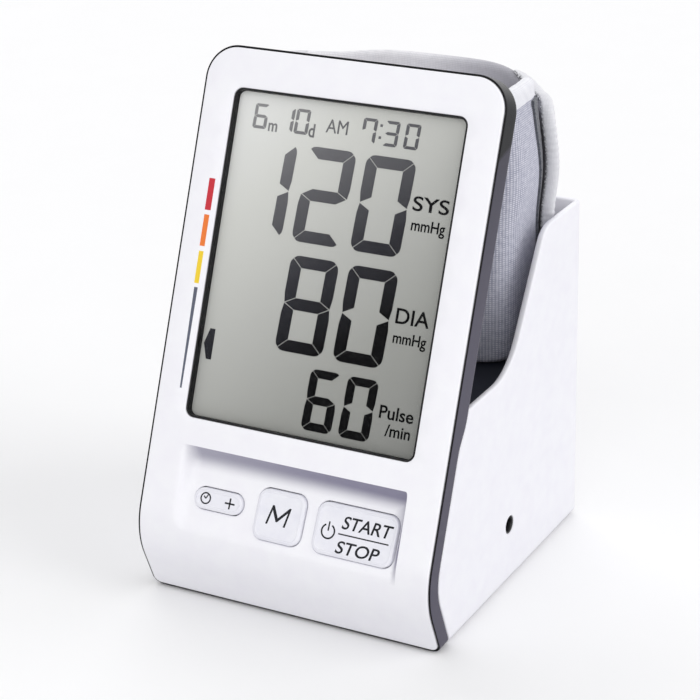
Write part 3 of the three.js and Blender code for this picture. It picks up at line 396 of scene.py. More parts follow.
def speckled(name, colours, scale_mm, roughness, rough_range=0.06, bump_mm=0.0, **sockets):
    """Moulded or painted finish: a noise of the given grain mixes two near colours, moves
    the roughness a little, and lifts the surface by a few hundredths of a millimetre."""
    material, shader, where = new_material(name, roughness, **sockets)
    grain = add(material, "TexNoise", {"Vector": where, "Scale": 1 / (scale_mm * MM),
                                       "Detail": 4.0, "Roughness": 0.55})["Fac"]
    colour = ramp(material, grain, [(0.3, colours[0]), (0.7, colours[1])])
    link(material, colour, shader["Base Color"])
    low, high = roughness - rough_range, roughness + rough_range
    link(material, spread(material, grain, 0, 1, low, high), shader["Roughness"])
    if bump_mm:
        emboss(material, shader, grain, bump_mm)
    return material


def paint(piece, *materials):
    """Puts materials on a piece or a CAD node."""
    piece.data.materials.clear()
    for material in materials:
        piece.data.materials.append(material)


# %% [markdown]
# The case is injection moulded ABS. Polished moulds give the front cover a gloss with a faint
# waviness; the base comes from a slightly duller mould. Both whites lean to lavender.

# %% Plastics
cover_gloss = speckled("polished_white_abs", ("#F7F6FB", "#FAFAFD"), 9, 0.22, 0.03, 0.004,
                       Coat_Weight=0.2, Coat_Roughness=0.08)
base_satin = speckled("satin_white_abs", ("#F4F3F9", "#F8F8FC"), 7, 0.34, 0.04, 0.008)
button_translucent = speckled("frosted_white_keys", ("#ECECF4", "#F3F3F9"), 5, 0.26, 0.03, 0.004,
                              Subsurface_Weight=0.15, Subsurface_Scale=0.5,
                              Subsurface_Radius=(0.002, 0.002, 0.002))
frame_lip = speckled("dark_lip_abs", ("#08080A", "#0E0E11"), 4, 0.34, 0.04, 0.003,
                     Specular_IOR_Level=0.15)
rear_satin = speckled("dark_textured_abs", ("#43424C", "#4D4C57"), 0.9, 0.5, 0.06, 0.03)
bay_black = speckled("bay_floor_abs", ("#131722", "#1B202E"), 0.9, 0.5, 0.06, 0.02)
bezel_black = speckled("black_pc_bezel", ("#0A0A0C", "#131316"), 3, 0.4, 0.05, 0.004,
                       Specular_IOR_Level=0.25)
rubber_grey = speckled("foot_rubber", ("#2E2E33", "#3A3A3F"), 0.6, 0.85, 0.05, 0.03)
socket_black = speckled("socket_pbt", ("#0E0E10", "#17171A"), 0.8, 0.4, 0.06, 0.01)
pump_black = speckled("pump_housing_pbt", ("#232327", "#2D2D32"), 0.8, 0.5, 0.06, 0.02)
board_green = speckled("solder_mask_green", ("#184A30", "#22603F"), 1.2, 0.42, 0.06, 0.01)
chip_grey = speckled("moulded_chip_epoxy", ("#232326", "#303034"), 0.4, 0.55, 0.05, 0.01)
silicone_hose = speckled("silicone_hose", ("#D3D3CC", "#DEDED8"), 2, 0.5, 0.05, 0.01)
cell_wrap = speckled("printed_cell_sleeve", ("#54687A", "#627688"), 3, 0.34, 0.04, 0.005)
print_dark = speckled("screen_print_ink", ("#1A1B20", "#24252B"), 0.5, 0.6, 0.05, 0.0,
                      Specular_IOR_Level=0.2)


def brushed(name, colours, grain_mm, length_mm, roughness):
    """Rolled or turned metal: noise stretched along x makes the fine lines of the tool."""
    material, shader, where = new_material(name, roughness, Metallic=1.0)
    split = add(material, "SeparateXYZ", {"Vector": where})
    vector = add(material, "CombineXYZ")["Vector"]
    for axis, size_mm in (("X", length_mm), ("Y", grain_mm), ("Z", grain_mm)):
        scaled = calc(material, "MULTIPLY", split[axis], 1 / (size_mm * MM))
        link(material, scaled, vector.node.inputs[axis])
    lines = add(material, "TexNoise", {"Vector": vector, "Scale": 1.0, "Detail": 3.0})["Fac"]
    colour = ramp(material, lines, [(0.25, colours[0]), (0.75, colours[1])])
    link(material, colour, shader["Base Color"])
    emboss(material, shader, lines, 0.01, 0.4)
    return material


zinc_steel = brushed("zinc_plated_steel", ("#A9ABB0", "#C6C8CC"), 0.3, 6, 0.32)
nickel_strip = brushed("nickel_plated_strip", ("#B4B2AC", "#CFCDC7"), 0.25, 8, 0.28)

# %% [markdown]
# Behind the window the liquid crystal glass has painted light and shade, lighter at the upper
# left and darker at the lower right, as such glass looks when seen from the side. It is fixed
# to the glass. Its segments carry painted light and shade too, darker towards the bottom.

# %% Display materials
def across_display(material, where, to_right):
    """Factor from 0 at the upper left to 1 at the lower right of the window, of which the
    way to the right makes the given share."""
    split = add(material, "SeparateXYZ", {"Vector": where})
    right = spread(material, split["X"], -0.049, 0.049, 0.0, to_right)
    down = spread(material, split["Z"], 0.195, 0.077, 0.0, 1 - to_right)
    return calc(material, "ADD", right, down)


def painted_display_shade(name, roughness, gloss, to_right, stops):
    """Material whose colour is read off a ramp across the display, as painted light and shade."""
    material, shader, where = new_material(name, roughness, Specular_IOR_Level=gloss)
    colour = ramp(material, across_display(material, where, to_right), stops)
    link(material, colour, shader["Base Color"])
    return material


# The glass, its segments and its words carry painted light and shade: lighter at the upper left,
# darker at the lower right.
lcd_glass = painted_display_shade("reflective_lcd_glass", 0.4, 0.1, 0.42, [
    (0.0, "#F8F9F6"), (0.25, "#DDDED8"), (0.5, "#C0C1BC"), (0.75, "#A3A49F"), (1.0, "#8F908C")])
digit_ink = painted_display_shade("lcd_segments", 0.6, 0.04, 0.33, [
    (0.0, "#A4A4A4"), (0.25, "#707073"), (0.5, "#35353A"), (0.68, "#0A0A0C"), (1.0, "#040405")])
word_ink = painted_display_shade("lcd_words", 0.6, 0.04, 0.33, [
    (0.0, "#9C9C9C"), (0.2, "#757577"), (0.42, "#1C1C1F"), (0.6, "#0A0A0C"), (1.0, "#060607")])
lens_clear, shader, where = new_material("hard_coated_acrylic", 0.05, Alpha=0.02)
haze = add(lens_clear, "TexNoise", {"Vector": where, "Scale": 60.0, "Detail": 2.0})["Fac"]
link(lens_clear, ramp(lens_clear, haze, [(0.3, "#2A2B2C"), (0.7, "#343536")]),
     shader["Base Color"])

# %% [markdown]
# ## Front cover
# The cover is a thin glossy shell. Its recess has a cove along the top, a crisp right wall, a
# soft left wall, and a floor that fades into the chin, so the buttons lie sheltered but easy
# to reach. As a height over the panel it is one formula, which the buttons use as well.

# %% Front cover
COVER = 2.4  # thickness
LIP_WIDTH = 0.6  # of the dark frame in front
SCOOP_LEFT, SCOOP_RIGHT, SCOOP_TOP = -49.2, 50.4, 70.2
COVE, LEFT_WALL, RIGHT_WALL = 6.0, 6.5, 1.6
SCOOP_DEPTH, SCOOP_FOOT = 4.0, 36.2
FADE = 0.9  # how softly the floor of the recess runs out into the chin
FADE_FROM, FADE_OVER = 44.2, 10  # where it is pressed down to the chin
OUT_FROM, OUT_OVER = 31.2, 4  # where the recess has ended
SHADE_REACH_DOWN, SHADE_REACH_ACROSS, SHADE_REACH_WALL = 9.5, 6.0, 0.9  # reach of the painted shade from the walls
WINDOW_HALF, WINDOW_LOW, WINDOW_HIGH, WINDOW_ROUND = 50.6, 81.1, 212.0, 3.75
KEY_GAP, KEY_CORNER = 0.4, 4.2
KEYS = {
    "start": ("start_stop_button", "start_stop_key", (13.3, 47.9, 39.9, 59.9)),
    "memory": ("memory_button", "memory_key", (-12.95, 7.8, 39.9, 59.9)),
    "set_plus": ("set_plus_rocker", "set_plus_key", (-41.2, -19.45, 46.5, 54.9)),
}


def plain_depth(along):
    """Depth of the bare front below the panel plane: zero on the panel, then the chin's arc
    R - sqrt(R^2 - drop^2), then the straight lower face."""
    drop = np.maximum(TANGENT - along, 0)
    arc_drop = CHIN_RADIUS * np.sin(CHIN_TURN)
    arc = CHIN_RADIUS - np.sqrt(CHIN_RADIUS ** 2 - np.minimum(drop, arc_drop) ** 2)
    return arc + np.maximum(drop - arc_drop, 0) * np.tan(CHIN_TURN)


foot_depth = float(plain_depth(SCOOP_FOOT))
floor_slope = (SCOOP_DEPTH - foot_depth) / (SCOOP_TOP - COVE - SCOOP_FOOT)


def floor_depth(along):
    """Depth of the recess floor below the panel plane, a straight slope."""
    return foot_depth + floor_slope * (along - SCOOP_FOOT)


def recess(x, along):
    """How deep the recess lies under the bare front. A rounded maximum of floor and front
    fades it into the chin; steep curves make the cove and right wall, an S the left one."""
    sunk = floor_depth(along) - plain_depth(along)
    sunk = 0.5 * (sunk + np.sqrt(sunk ** 2 + FADE ** 2))
    sunk = sunk - 0.5 * FADE * np.clip((FADE_FROM - along) / FADE_OVER, 0, 1)
    sunk = np.maximum(sunk, 0) * np.clip((along - OUT_FROM) / OUT_OVER, 0, 1)
    right = np.clip(1 - (SCOOP_RIGHT - x) / RIGHT_WALL, 0, 1)
    top = np.clip(1 - (SCOOP_TOP - along) / COVE, 0, 1)
    wall = 1 - np.minimum((right ** 4 + top ** 4) ** 0.25, 1) ** 1.5
    return sunk * wall * smooth_step((x - SCOOP_LEFT) / LEFT_WALL)


def painted_cove_shade(x, along):
    """How far the painted shade of the cove and the right wall reaches: full on the walls, fading
    out on the floor and to the left, and a little stronger towards the right end."""
    across = np.clip((x - SCOOP_LEFT) / (SCOOP_RIGHT - SCOOP_LEFT), 0, 1)
    from_left = np.clip((x - SCOOP_LEFT - 0.5) / 7, 0, 1)
    top = smooth_step(1.25 - 1.25 * (SCOOP_TOP - along) / SHADE_REACH_DOWN) * from_left
    right = np.clip(1 - (SCOOP_RIGHT - x) / SHADE_REACH_ACROSS, 0, 1)
    right = right * np.clip((along - 44) / 22, 0, 1)
    wall = np.clip(2.4 - (SCOOP_RIGHT - x) / SHADE_REACH_WALL, 0, 1.2)
    wall = wall * np.clip((along - 34) / 12, 0, 1)
    shade = np.maximum(np.maximum(top * (0.8 + 0.3 * across), right), wall)
    reach_right = np.clip(1 - (SCOOP_RIGHT - x) / RIGHT_WALL, 0, 2)
    reach_up = np.clip(1 - (SCOOP_TOP - along) / COVE, 0, 2)
    return shade * (reach_right ** 4 + reach_up ** 4 < 1)


def along_at(height):
    """Distance along the panel plane at which the bare front has that height over the table."""
    table = np.linspace(-20, 240, 2000)
    return np.interp(height, table * COS - plain_depth(table) * SIN, table)


def case_outline(inset, along_of):
    """Anticlockwise outline of the case front, drawn in by an inset, over (x, along): corners
    round on the panel at the top, and round in height over the table at the bottom."""
    side, top = CASE_HALF - inset, PANEL_TOP - inset
    low, low_round, top_round = UNDERSIDE + inset, max(4 - inset, 0.8), max(13.5 - inset, 1)
    turn = np.linspace(-np.pi / 2, 0, 9)[:-1]
    corner = np.stack([side - low_round + low_round * np.cos(turn),
                       along_of(low + low_round + low_round * np.sin(turn))], axis=1)
    rise = np.linspace(along_of(low + low_round), top - top_round, 120)[:-1]
    wall = np.stack([np.full(len(rise), side), rise], axis=1)
    turn = np.linspace(0, np.pi / 2, 19)
    upper = np.stack([side - top_round + top_round * np.cos(turn),
                      top - top_round + top_round * np.sin(turn)], axis=1)
    right = np.concatenate([corner, wall, upper])
    left = right[::-1] * (-1, 1)
    across = np.linspace(0, 1, 61)[1:-1, None]
    over = right[-1] + across * (left[0] - right[-1])
    under = left[-1] + across * (right[0] - left[-1])
    return np.concatenate([right, over, left, under])


def window_outline(inset):
    """Outline of the window drawn in by an inset, which may be negative."""
    half, low, high = WINDOW_HALF - inset, WINDOW_LOW + inset, WINDOW_HIGH - inset
    return rounded_loop(-half, half, low, high, max(WINDOW_ROUND - inset, 0.5), 1.5)


def cover_front(x, along, drop):
    """Point on the face of the cover, or a drop square behind it."""
    turn = np.clip(np.arcsin(np.clip((TANGENT - along) / CHIN_RADIUS, 0, 1)), 0, CHIN_TURN)
    point = panel_point(x, along, plain_depth(along) + recess(x, along))
    point[:, 1] += drop * np.cos(LEAN - turn)
    point[:, 2] -= drop * np.sin(LEAN - turn)
    return point


cover_holes = [(window_outline(0), *fillet(0.45, 3))]
for _, _, (x0, x1, z0, z1) in KEYS.values():
    hole = rounded_loop(x0 - KEY_GAP, x1 + KEY_GAP, z0 - KEY_GAP, z1 + KEY_GAP,
                        KEY_CORNER + KEY_GAP, 0.8)
    cover_holes.append((hole, *fillet(0.35, 3)))

# Rings of points follow the cove and the right wall, closer where they are steeper, and one
# more lies just beyond them.
wall_rings = []
for step in range(-1, 9):
    rho = np.cos(max(step, 0) / 8 * np.pi / 2)
    beyond = 0.1 if step < 0 else 0.0
    turn = np.linspace(0.0, np.pi / 2, 18)
    x = SCOOP_RIGHT - RIGHT_WALL + (RIGHT_WALL * rho + beyond) * np.sqrt(np.cos(turn))
    z = SCOOP_TOP - COVE + (COVE * rho + beyond) * np.sqrt(np.sin(turn))
    side_z = np.arange(34, SCOOP_TOP - COVE - 0.5, 1.2)
    top_x = np.arange(x[-1] - 1.2, SCOOP_LEFT - 0.5, -1.2)
    wall_rings.append(np.stack([np.concatenate([np.full(len(side_z), x[0]), x, top_x]),
                                np.concatenate([side_z, z, np.full(len(top_x), z[-1])])], axis=1))
fields = np.concatenate([
    field(-62, 62, 82, 226, 7, 7),
    field(-62, 62, 72, 82, 4, 3),
    field(-62, SCOOP_LEFT - 0.5, 29, 72, 3, 1.6),
    field(SCOOP_RIGHT + 0.8, 62.5, 29, 72, 3, 1.6),
    field(SCOOP_LEFT, SCOOP_RIGHT - RIGHT_WALL - 0.3, 30, SCOOP_TOP - COVE - 0.4, 1.1, 1.1),
    field(-62, 62, 4, 29, 3, 1.4),
])
cover_edge = (case_outline(LIP_WIDTH + 0.25, along_at), *fillet(0.8))
cover = moulded_plate("front_cover_shell", cover_edge, cover_holes, fields, wall_rings,
                      cover_front, lambda x, along: cover_front(x, along, COVER))
# The cove and right wall of the recess get a painted shade: the cover's white is mixed towards a
# darker lavender by the cove attribute.
at = vertices_of(cover.data) / MM + (0, ORIGIN_Y, 0)
shade = painted_cove_shade(at[:, 0] - 1e-4, at[:, 1] * SIN + at[:, 2] * COS - 1e-3)
cover.data.attributes.new("cove", "FLOAT", "POINT").data.foreach_set("value", shade)
cove = add(cover_gloss, "Attribute", attribute_name="cove")["Fac"]
overlay(cover_gloss, cove, linear("#8A879C"))
paint(cover, cover_gloss)
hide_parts("front_cover")
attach(cover, "housing")
print("front cover:", len(cover.data.polygons), "faces")

# %% [markdown]
# ## Dark frame
# A second moulding runs round the cover: a thin dark lip in front and the lacquered band on
# the side. It is one cross-section carried round the outline of the case. The band is deeper
# above the base, where it is seen from behind, so the rear of the section follows a smooth
# step. A painted reflection makes the band lighter below and darker above, with a slanting border.

# %% Dark frame
FRAME_DEPTH, REAR_FRAME_DEPTH = 8.0, 10.7
LIP_SET = 0.65  # how far the lip lies behind the face of the cover
FLARE_START, FLARE_END = 86.5, 100.5
WALL = 2.5
SEAM = 0.3
REFLECTION_EDGE, REFLECTION_BLUR, REFLECTION_DRIFT = 0.1967, 0.0012, 0.06  # metres along the panel
REFLECTION_LEAN = 0.73  # of the border of the painted reflection: along grows by this much per depth


def frame_rear(along):
    """Depth of the band's rear edge: 8 mm, and 10.7 mm past the flare, by a smooth step."""
    flare = smooth_step((along - FLARE_START) / (FLARE_END - FLARE_START))
    return FRAME_DEPTH + (REAR_FRAME_DEPTH - FRAME_DEPTH) * flare


def chin_along(height):
    """Distance along the bent front, from the height over the table, on the lower face."""
    return BOTTOM + (height - UNDERSIDE) / CHIN_COS


def section_of_frame():
    """Closed section as rows of (inset, depth, share of the rear depth)."""
    inset, drop = fillet(0.35, 4)
    rows = [(LIP_WIDTH, 2.7, 0), (LIP_WIDTH, LIP_SET + 0.15, 0), (LIP_WIDTH - 0.12, LIP_SET, 0)]
    rows += [(i, d + LIP_SET, 0) for i, d in zip(inset[::-1], drop[::-1])]
    rows += [(0, z, 0) for z in (1.5, 3.0, 4.5)] + [(0, z, 1) for z in (-3.0, -1.6)]
    rows += [(i, -d, 1) for i, d in zip(*fillet(0.6))]
    rows += [(WALL, 0, 1), (WALL, 4.7, 0), (WALL + 1.1, 4.7, 0), (WALL + 1.1, 2.7, 0)]
    return np.array(rows)


# The band's colour carries a painted reflection: purple-grey below a slanting border, darker towards
# it, and near-black above.
frame_gloss, shader, where = new_material("dark_lacquered_abs", 0.26, Specular_IOR_Level=0.14)
split = add(frame_gloss, "SeparateXYZ", {"Vector": where})
share_y, share_z = SIN - REFLECTION_LEAN * COS, COS + REFLECTION_LEAN * SIN
from_y = calc(frame_gloss, "MULTIPLY_ADD", split["Y"], share_y, share_y * ORIGIN_Y * MM)
height = calc(frame_gloss, "MULTIPLY_ADD", split["Z"], share_z, from_y)
reflection_share = spread(frame_gloss, height, REFLECTION_EDGE - REFLECTION_BLUR, REFLECTION_EDGE + REFLECTION_BLUR)
drift = add(frame_gloss, "TexNoise", {"Vector": where, "Scale": 110.0, "Detail": 2.0})["Fac"]
climb = spread(frame_gloss, height, REFLECTION_EDGE - REFLECTION_DRIFT, REFLECTION_EDGE)
reflection_fade = calc(frame_gloss, "MULTIPLY_ADD", drift, 0.1, climb)
lower = ramp(frame_gloss, reflection_fade, [(0.05, "#4F4C5A"), (1.05, "#3E3C48")])
link(frame_gloss, mix(frame_gloss, reflection_share, lower, linear("#0D0D10")), shader["Base Color"])

section = section_of_frame()
loops = []
for inset, depth, share in section:
    loop = case_outline(inset, chin_along)
    y, z = front_point(loop[:, 1], depth + share * frame_rear(loop[:, 1]))
    loops.append(np.stack([loop[:, 0], y, z], axis=1))
ring_faces = grid_faces(len(section), len(loops[0]), True, True)
ring = new_piece("dark_frame_ring", np.concatenate(loops), ring_faces)
paint(ring, frame_gloss, frame_lip)
lip = (ring_faces[:, 0] // len(loops[0]) < 6).astype(np.int32)
ring.data.polygons.foreach_set("material_index", lip)
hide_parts("display_frame")
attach(ring, "housing")
print("frame ring:", len(ring_faces), "faces")

# %% [markdown]
# ## Base case
# The base is a wall that runs from the seam on the right, round the back, to the seam on the
# left. Its upper edge lies low beside the display, then sweeps up in an S to the back wall. The
# surface is a grid: columns step along that edge, rows go once round the wall's section, from
# the foot up the outside, over the rounded rim and down the inside to the shelf underneath.

# %% Base case
CUT_HEIGHT, SWEEP_START, WALL_TOP = 92.3, 73.0, 142.2
SWEEP_LOW, SWEEP_HIGH, SWEEP_SLOPE = 26.0, 12.0, np.radians(56.8)
REAR_ROUND = 3.0
RIM, FOOT_ROUND, REAR_FOOT_ROUND = 0.9, 4.0, 1.4
SHELF, SHELF_TOP = 6.2, 3.5
END_ROUND = 0.6  # of the wall's end at the seam
CORNER_Y = BACK_Y - REAR_ROUND
SOCKET_Y, SOCKET_Z = 86.6, 26.4

seam_along = np.linspace(BOTTOM - 2, 190, 900)
seam_y, seam_z = front_point(seam_along, frame_rear(seam_along) + SEAM)


def seam_at(height):
    """y of the seam between frame and base at a height."""
    return np.interp(height, seam_z, seam_y)


def upper_edge():
    """(y, z) along the top edge of one side, from the seam to the rear corner, at even steps
    and three close ones more, and the length that each is from the seam."""
    turn = np.linspace(0, SWEEP_SLOPE, 24)
    low = np.stack([SWEEP_START + SWEEP_LOW * np.sin(turn),
                    CUT_HEIGHT + SWEEP_LOW * (1 - np.cos(turn))], axis=1)
    bend = SWEEP_LOW + SWEEP_HIGH
    rise = WALL_TOP - CUT_HEIGHT - bend * (1 - np.cos(SWEEP_SLOPE))
    centre = SWEEP_START + bend * np.sin(SWEEP_SLOPE) + rise / np.tan(SWEEP_SLOPE)
    high = np.stack([centre - SWEEP_HIGH * np.sin(turn[::-1]),
                     WALL_TOP - SWEEP_HIGH * (1 - np.cos(turn[::-1]))], axis=1)
    start = [[seam_at(CUT_HEIGHT), CUT_HEIGHT]]
    line = np.concatenate([start, low, high, [[CORNER_Y, WALL_TOP]]])
    length = np.concatenate([[0], np.cumsum(np.hypot(*np.diff(line, axis=0).T))])
    even = np.sort(np.concatenate([np.linspace(0, length[-1], 110), [0.12, 0.3, 0.6]]))
    return np.stack([np.interp(even, length, line[:, k]) for k in (0, 1)], axis=1), even


edge_line, edge_length = upper_edge()
edge_slope = np.gradient(edge_line[:, 1], edge_length)
rim_stretch = 1 / np.sqrt(np.clip(1 - edge_slope ** 2, 0.15, 1))
end_round = END_ROUND * (1 - quarter_round(edge_length / END_ROUND))
edge_seam = seam_at(edge_line[:, 1])
edge_share = (edge_line[:, 0] - edge_seam) / (CORNER_Y - edge_seam)


def wall_section(foot_round, top, stretch=1, end=0):
    """(inset, z) once round the wall: foot round, outside, rim, inside, shelf, underside."""
    turn = np.linspace(0, np.pi / 2, 9)
    foot = np.stack([foot_round * (1 - np.sin(turn)),
                     UNDERSIDE + foot_round * (1 - np.cos(turn))], axis=1)
    rim_low = top - RIM * stretch
    climb = foot[-1, 1] + np.linspace(0, 1, 16)[1:-1] * (rim_low - foot[-1, 1])
    turn = np.linspace(0, np.pi / 2, 6)
    rise = np.stack([RIM * (1 - np.cos(turn)), rim_low + RIM * stretch * np.sin(turn)], axis=1)
    fall = np.stack([WALL - rise[::-1, 0], rise[::-1, 1]], axis=1)
    inner = np.stack([np.full(8, WALL), np.linspace(rim_low, SHELF_TOP, 9)[1:]], axis=1)
    rows = np.concatenate([foot, np.stack([np.zeros(14), climb], axis=1), rise, fall, inner,
                           [[SHELF, SHELF_TOP], [SHELF, UNDERSIDE]]])
    rows[:, 0] = np.maximum(rows[:, 0], np.where(rows[:, 0] < WALL / 2, end, 0))
    return rows


def rear_corner(inset):
    """Radius of the rear corner at an inset, and how far its centre lies from the outside."""
    radius = np.maximum(REAR_ROUND - inset, 0.8)
    return radius, inset + radius


columns = []
for (_, top), stretch, end, share in zip(edge_line, rim_stretch, end_round, edge_share):
    rows = wall_section(FOOT_ROUND, top, stretch, end)
    y0 = seam_at(rows[:, 1])
    y1 = BACK_Y - rear_corner(rows[:, 0])[1]
    columns.append(np.stack([CASE_HALF - rows[:, 0], y0 + share * (y1 - y0), rows[:, 1]], axis=1))
for share in np.linspace(0, 1, 13)[1:]:
    rows = wall_section(FOOT_ROUND + (REAR_FOOT_ROUND - FOOT_ROUND) * share, WALL_TOP)
    (radius, centre), turn = rear_corner(rows[:, 0]), share * np.pi / 2
    columns.append(np.stack([CASE_HALF - centre + radius * np.cos(turn),
                             BACK_Y - centre + radius * np.sin(turn), rows[:, 1]], axis=1))
rows = wall_section(REAR_FOOT_ROUND, WALL_TOP)
for share in np.linspace(1, 0, 12)[1:]:
    x = share * (CASE_HALF - rear_corner(rows[:, 0])[1])
    columns.append(np.stack([x, BACK_Y - rows[:, 0], rows[:, 1]], axis=1))
half = np.array(columns)
base = tube("base_case", np.concatenate([half, half[-2::-1] * (-1, 1, 1)]))


def turned(name, profile, ring=False, sides=48):
    """Body of revolution about the sockets' axis: (x, radius) rows carried round a circle,
    closed at its ends, or joined last to first where they make a ring."""
    x, radius = np.asarray(profile, float).T[:, :, None]
    turn = np.arange(sides) / sides * 2 * np.pi
    y, z = SOCKET_Y + radius * np.cos(turn), SOCKET_Z + radius * np.sin(turn)
    grid = np.stack([np.broadcast_to(x, y.shape), y, z], axis=-1)
    if ring:
        return new_piece(name, grid.reshape(-1, 3), grid_faces(len(profile), sides, True, True))
    return tube(name, grid)


def bore(piece, cutter):
    """Cuts the cutter's shape out of the piece, and removes the cutter."""
    cut = piece.modifiers.new("bore", "BOOLEAN")
    cut.operation, cut.solver, cut.object = "DIFFERENCE", "EXACT", cutter
    piece.data, _ = evaluated_mesh(piece), piece.modifiers.clear()
    piece.data.shade_smooth()
    piece.data.set_sharp_from_angle(angle=SHARP)
    bpy.data.objects.remove(cutter)


bore(base, turned("power_cut", [(66, 4.0), (65.02, 3.95), (64.75, 3.8), (60, 3.8)]))
bore(base, turned("air_cut", [(-60, 5.1), (-64.4, 5.1), (-64.8, 5.3), (-66, 6.0)]))
paint(base, base_satin)
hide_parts("body_shell")
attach(base, "housing")
collar = turned("power_collar", [(62.6, 3.75), (64.6, 3.75), (64.75, 3.6), (64.7, 3.1),
                                 (64.2, 2.85), (62.6, 2.85)], ring=True)
paint(collar, socket_black)
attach(collar, "housing")
print("base case:", len(base.data.polygons), "faces")

# %% [markdown]
# ## Buttons
# Each key stands a little proud of the recess floor and has a fine raised line inside its
# edge. The rings of the plate carry that line: their drops go down at the rim, up over the
# line, and back to the flat pad.

# %% Buttons
PROUD = 0.9
KEY_BACK = 7.7
KEY_INSETS = np.array([0.0, 0.08, 0.22, 0.4, 0.7, 0.95, 1.15, 1.3, 1.5, 1.8])
KEY_DROPS = np.array([0.45, 0.22, 0.08, 0.0, 0.0, -0.16, -0.24, -0.22, -0.02, 0.0])


def on_key(x, along):
    """Depth of the keys' faces."""
    return floor_depth(along) - PROUD


for key, (node, body, (x0, x1, z0, z1)) in KEYS.items():
    loop = rounded_loop(x0, x1, z0, z1, min(KEY_CORNER, (z1 - z0) / 2 - 0.01), 0.6)
    cap = moulded_plate(key + "_key_cap", (loop, KEY_INSETS, KEY_DROPS), [],
                        field(x0 + 2, x1 - 2, z0 + 2, z1 - 2, 3, 3), [],
                        lambda x, along, drop: panel_point(x, along, on_key(x, along) + drop),
                        lambda x, along: panel_point(x, along, KEY_BACK))
    paint(cap, button_translucent)
    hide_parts(node)
    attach(cap, body)

# %% [markdown]
# ## Printed marks
# Words and icons are screen printed in dark grey. A text object becomes a mesh, its points
# are stretched to the measured box, and a thin layer of ink lies just over the surface.

# %% Printed marks
INK = 0.03
SLANT = np.tan(np.radians(12))


def text_points(body, box, slant=0.0, weight=0.0):
    """Mesh points and faces of a word, fitted to a box (x0, x1, z0, z1), with z as depth. The
    weight thickens the strokes, and the slant moves each point right by its share of height."""
    curve = bpy.data.curves.new("word", "FONT")
    curve.body = body
    curve.extrude = 0.5
    curve.offset = weight
    holder = in_scene("word", curve)
    mesh = evaluated_mesh(holder)
    faces = [tuple(polygon.vertices) for polygon in mesh.polygons]
    bpy.data.objects.remove(holder)
    points = vertices_of(mesh)
    low, high = points.min(0), points.max(0)
    across, up, lift = ((points - low) / (high - low)).T
    x0, x1, z0, z1 = box
    z = z0 + up * (z1 - z0)
    return np.stack([x0 + across * (x1 - x0) + slant * (z - z0), z, lift], axis=1), faces


def stroke(line, width, closed=False):
    """Ribbon along a line of (x, z) points: four rows of points, at plus and minus half the
    width, below and above."""
    line = np.asarray(line, float)
    n = len(line)
    along = np.gradient(line, axis=0)
    if closed:
        along = np.roll(line, -1, axis=0) - np.roll(line, 1, axis=0)
    along /= np.hypot(*along.T)[:, None]
    side = np.stack([-along[:, 1], along[:, 0]], axis=1) * (width / 2)
    rows = [np.column_stack([line + sign * side, np.full(n, lift)])
            for sign, lift in ((-1, 0.0), (-1, 1.0), (1, 1.0), (1, 0.0))]
    faces = grid_faces(4, n, True, closed).tolist()
    if not closed:
        faces += [[3 * n, 2 * n, n, 0], [n - 1, 2 * n - 1, 3 * n - 1, 4 * n - 1]]
    return np.concatenate(rows), faces


def prism(outline):
    """Flat prism over a polygon of (x, z) points."""
    n = len(outline)
    points = np.concatenate([np.column_stack([outline, np.full(n, lift)]) for lift in (0.0, 1.0)])
    faces = [list(range(n))[::-1], list(range(n, 2 * n))]
    return points, faces + [[i, (i + 1) % n, (i + 1) % n + n, i + n] for i in range(n)]


def arc(cx, cz, radius, start, end, count=32):
    """Points on a circle between two angles in degrees."""
    turn = np.radians(np.linspace(start, end, count))
    return np.stack([cx + radius * np.cos(turn), cz + radius * np.sin(turn)], axis=1)


def marks(name, parts, surface, thickness, material):
    """One piece from several flat parts, laid on a surface: depth = surface - lift * ink."""
    points, faces, total = [], [], 0
    for co, rows in parts:
        points.append(co)
        faces += [[i + total for i in row] for row in rows]
        total += len(co)
    x, along, lift = np.concatenate(points).T
    depth = surface(x, along) - lift * thickness
    piece = new_piece(name, panel_point(x, along, depth), faces, np.radians(20))
    paint(piece, material)
    return piece


start_parts = [
    text_points("START", (24.4, 45.1, 50.9, 56.0), SLANT, 0.012),
    text_points("STOP", (23.6, 41.7, 41.5, 46.4), SLANT, 0.012),
    stroke([(23.7, 48.85), (34.5, 48.85), (45.3, 48.85)], 0.5),
    stroke(arc(19.25, 48.9, 2.75, 118, 422), 0.65),
    stroke([(19.25, 49.1), (19.25, 50.9), (19.25, 52.7)], 0.6),
]
letter = np.array([(0, 0), (0.85, 0), (0.95, 5.7), (4.05, 1.4), (4.65, 1.4), (7.75, 5.7),
                   (7.85, 0), (8.7, 0), (8.5, 7.6), (7.7, 7.6), (4.35, 2.95), (1.0, 7.6),
                   (0.2, 7.6)])
memory_parts = [prism(letter + np.outer(letter[:, 1], (SLANT, 0)) + (-8.0, 46.4))]
set_parts = [
    stroke(arc(-36.05, 50.8, 2.1, 0, 360, 41)[:-1], 0.58, closed=True),
    stroke([(-36.05, 50.7), (-35.65, 51.4), (-35.15, 52.3)], 0.5),
    stroke([(-36.05, 50.7), (-36.55, 51.2), (-36.95, 51.6)], 0.5),
    stroke([(-27.2, 50.65), (-25.0, 50.65), (-22.8, 50.65)], 0.66),
    stroke([(-25.0, 48.5), (-25.0, 50.65), (-25.0, 52.8)], 0.66),
]
for name, parts, body in (("start_stop_mark", start_parts, "start_stop_key"),
                          ("memory_mark", memory_parts, "memory_key"),
                          ("set_plus_mark", set_parts, "set_plus_key")):
    mark = marks(name, parts, on_key, INK, print_dark)
    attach(mark, body)

# %% [markdown]
# Left of the window a colour scale is printed: red over orange over yellow over a long grey
# line that narrows downwards. It helps to judge a reading at a glance.

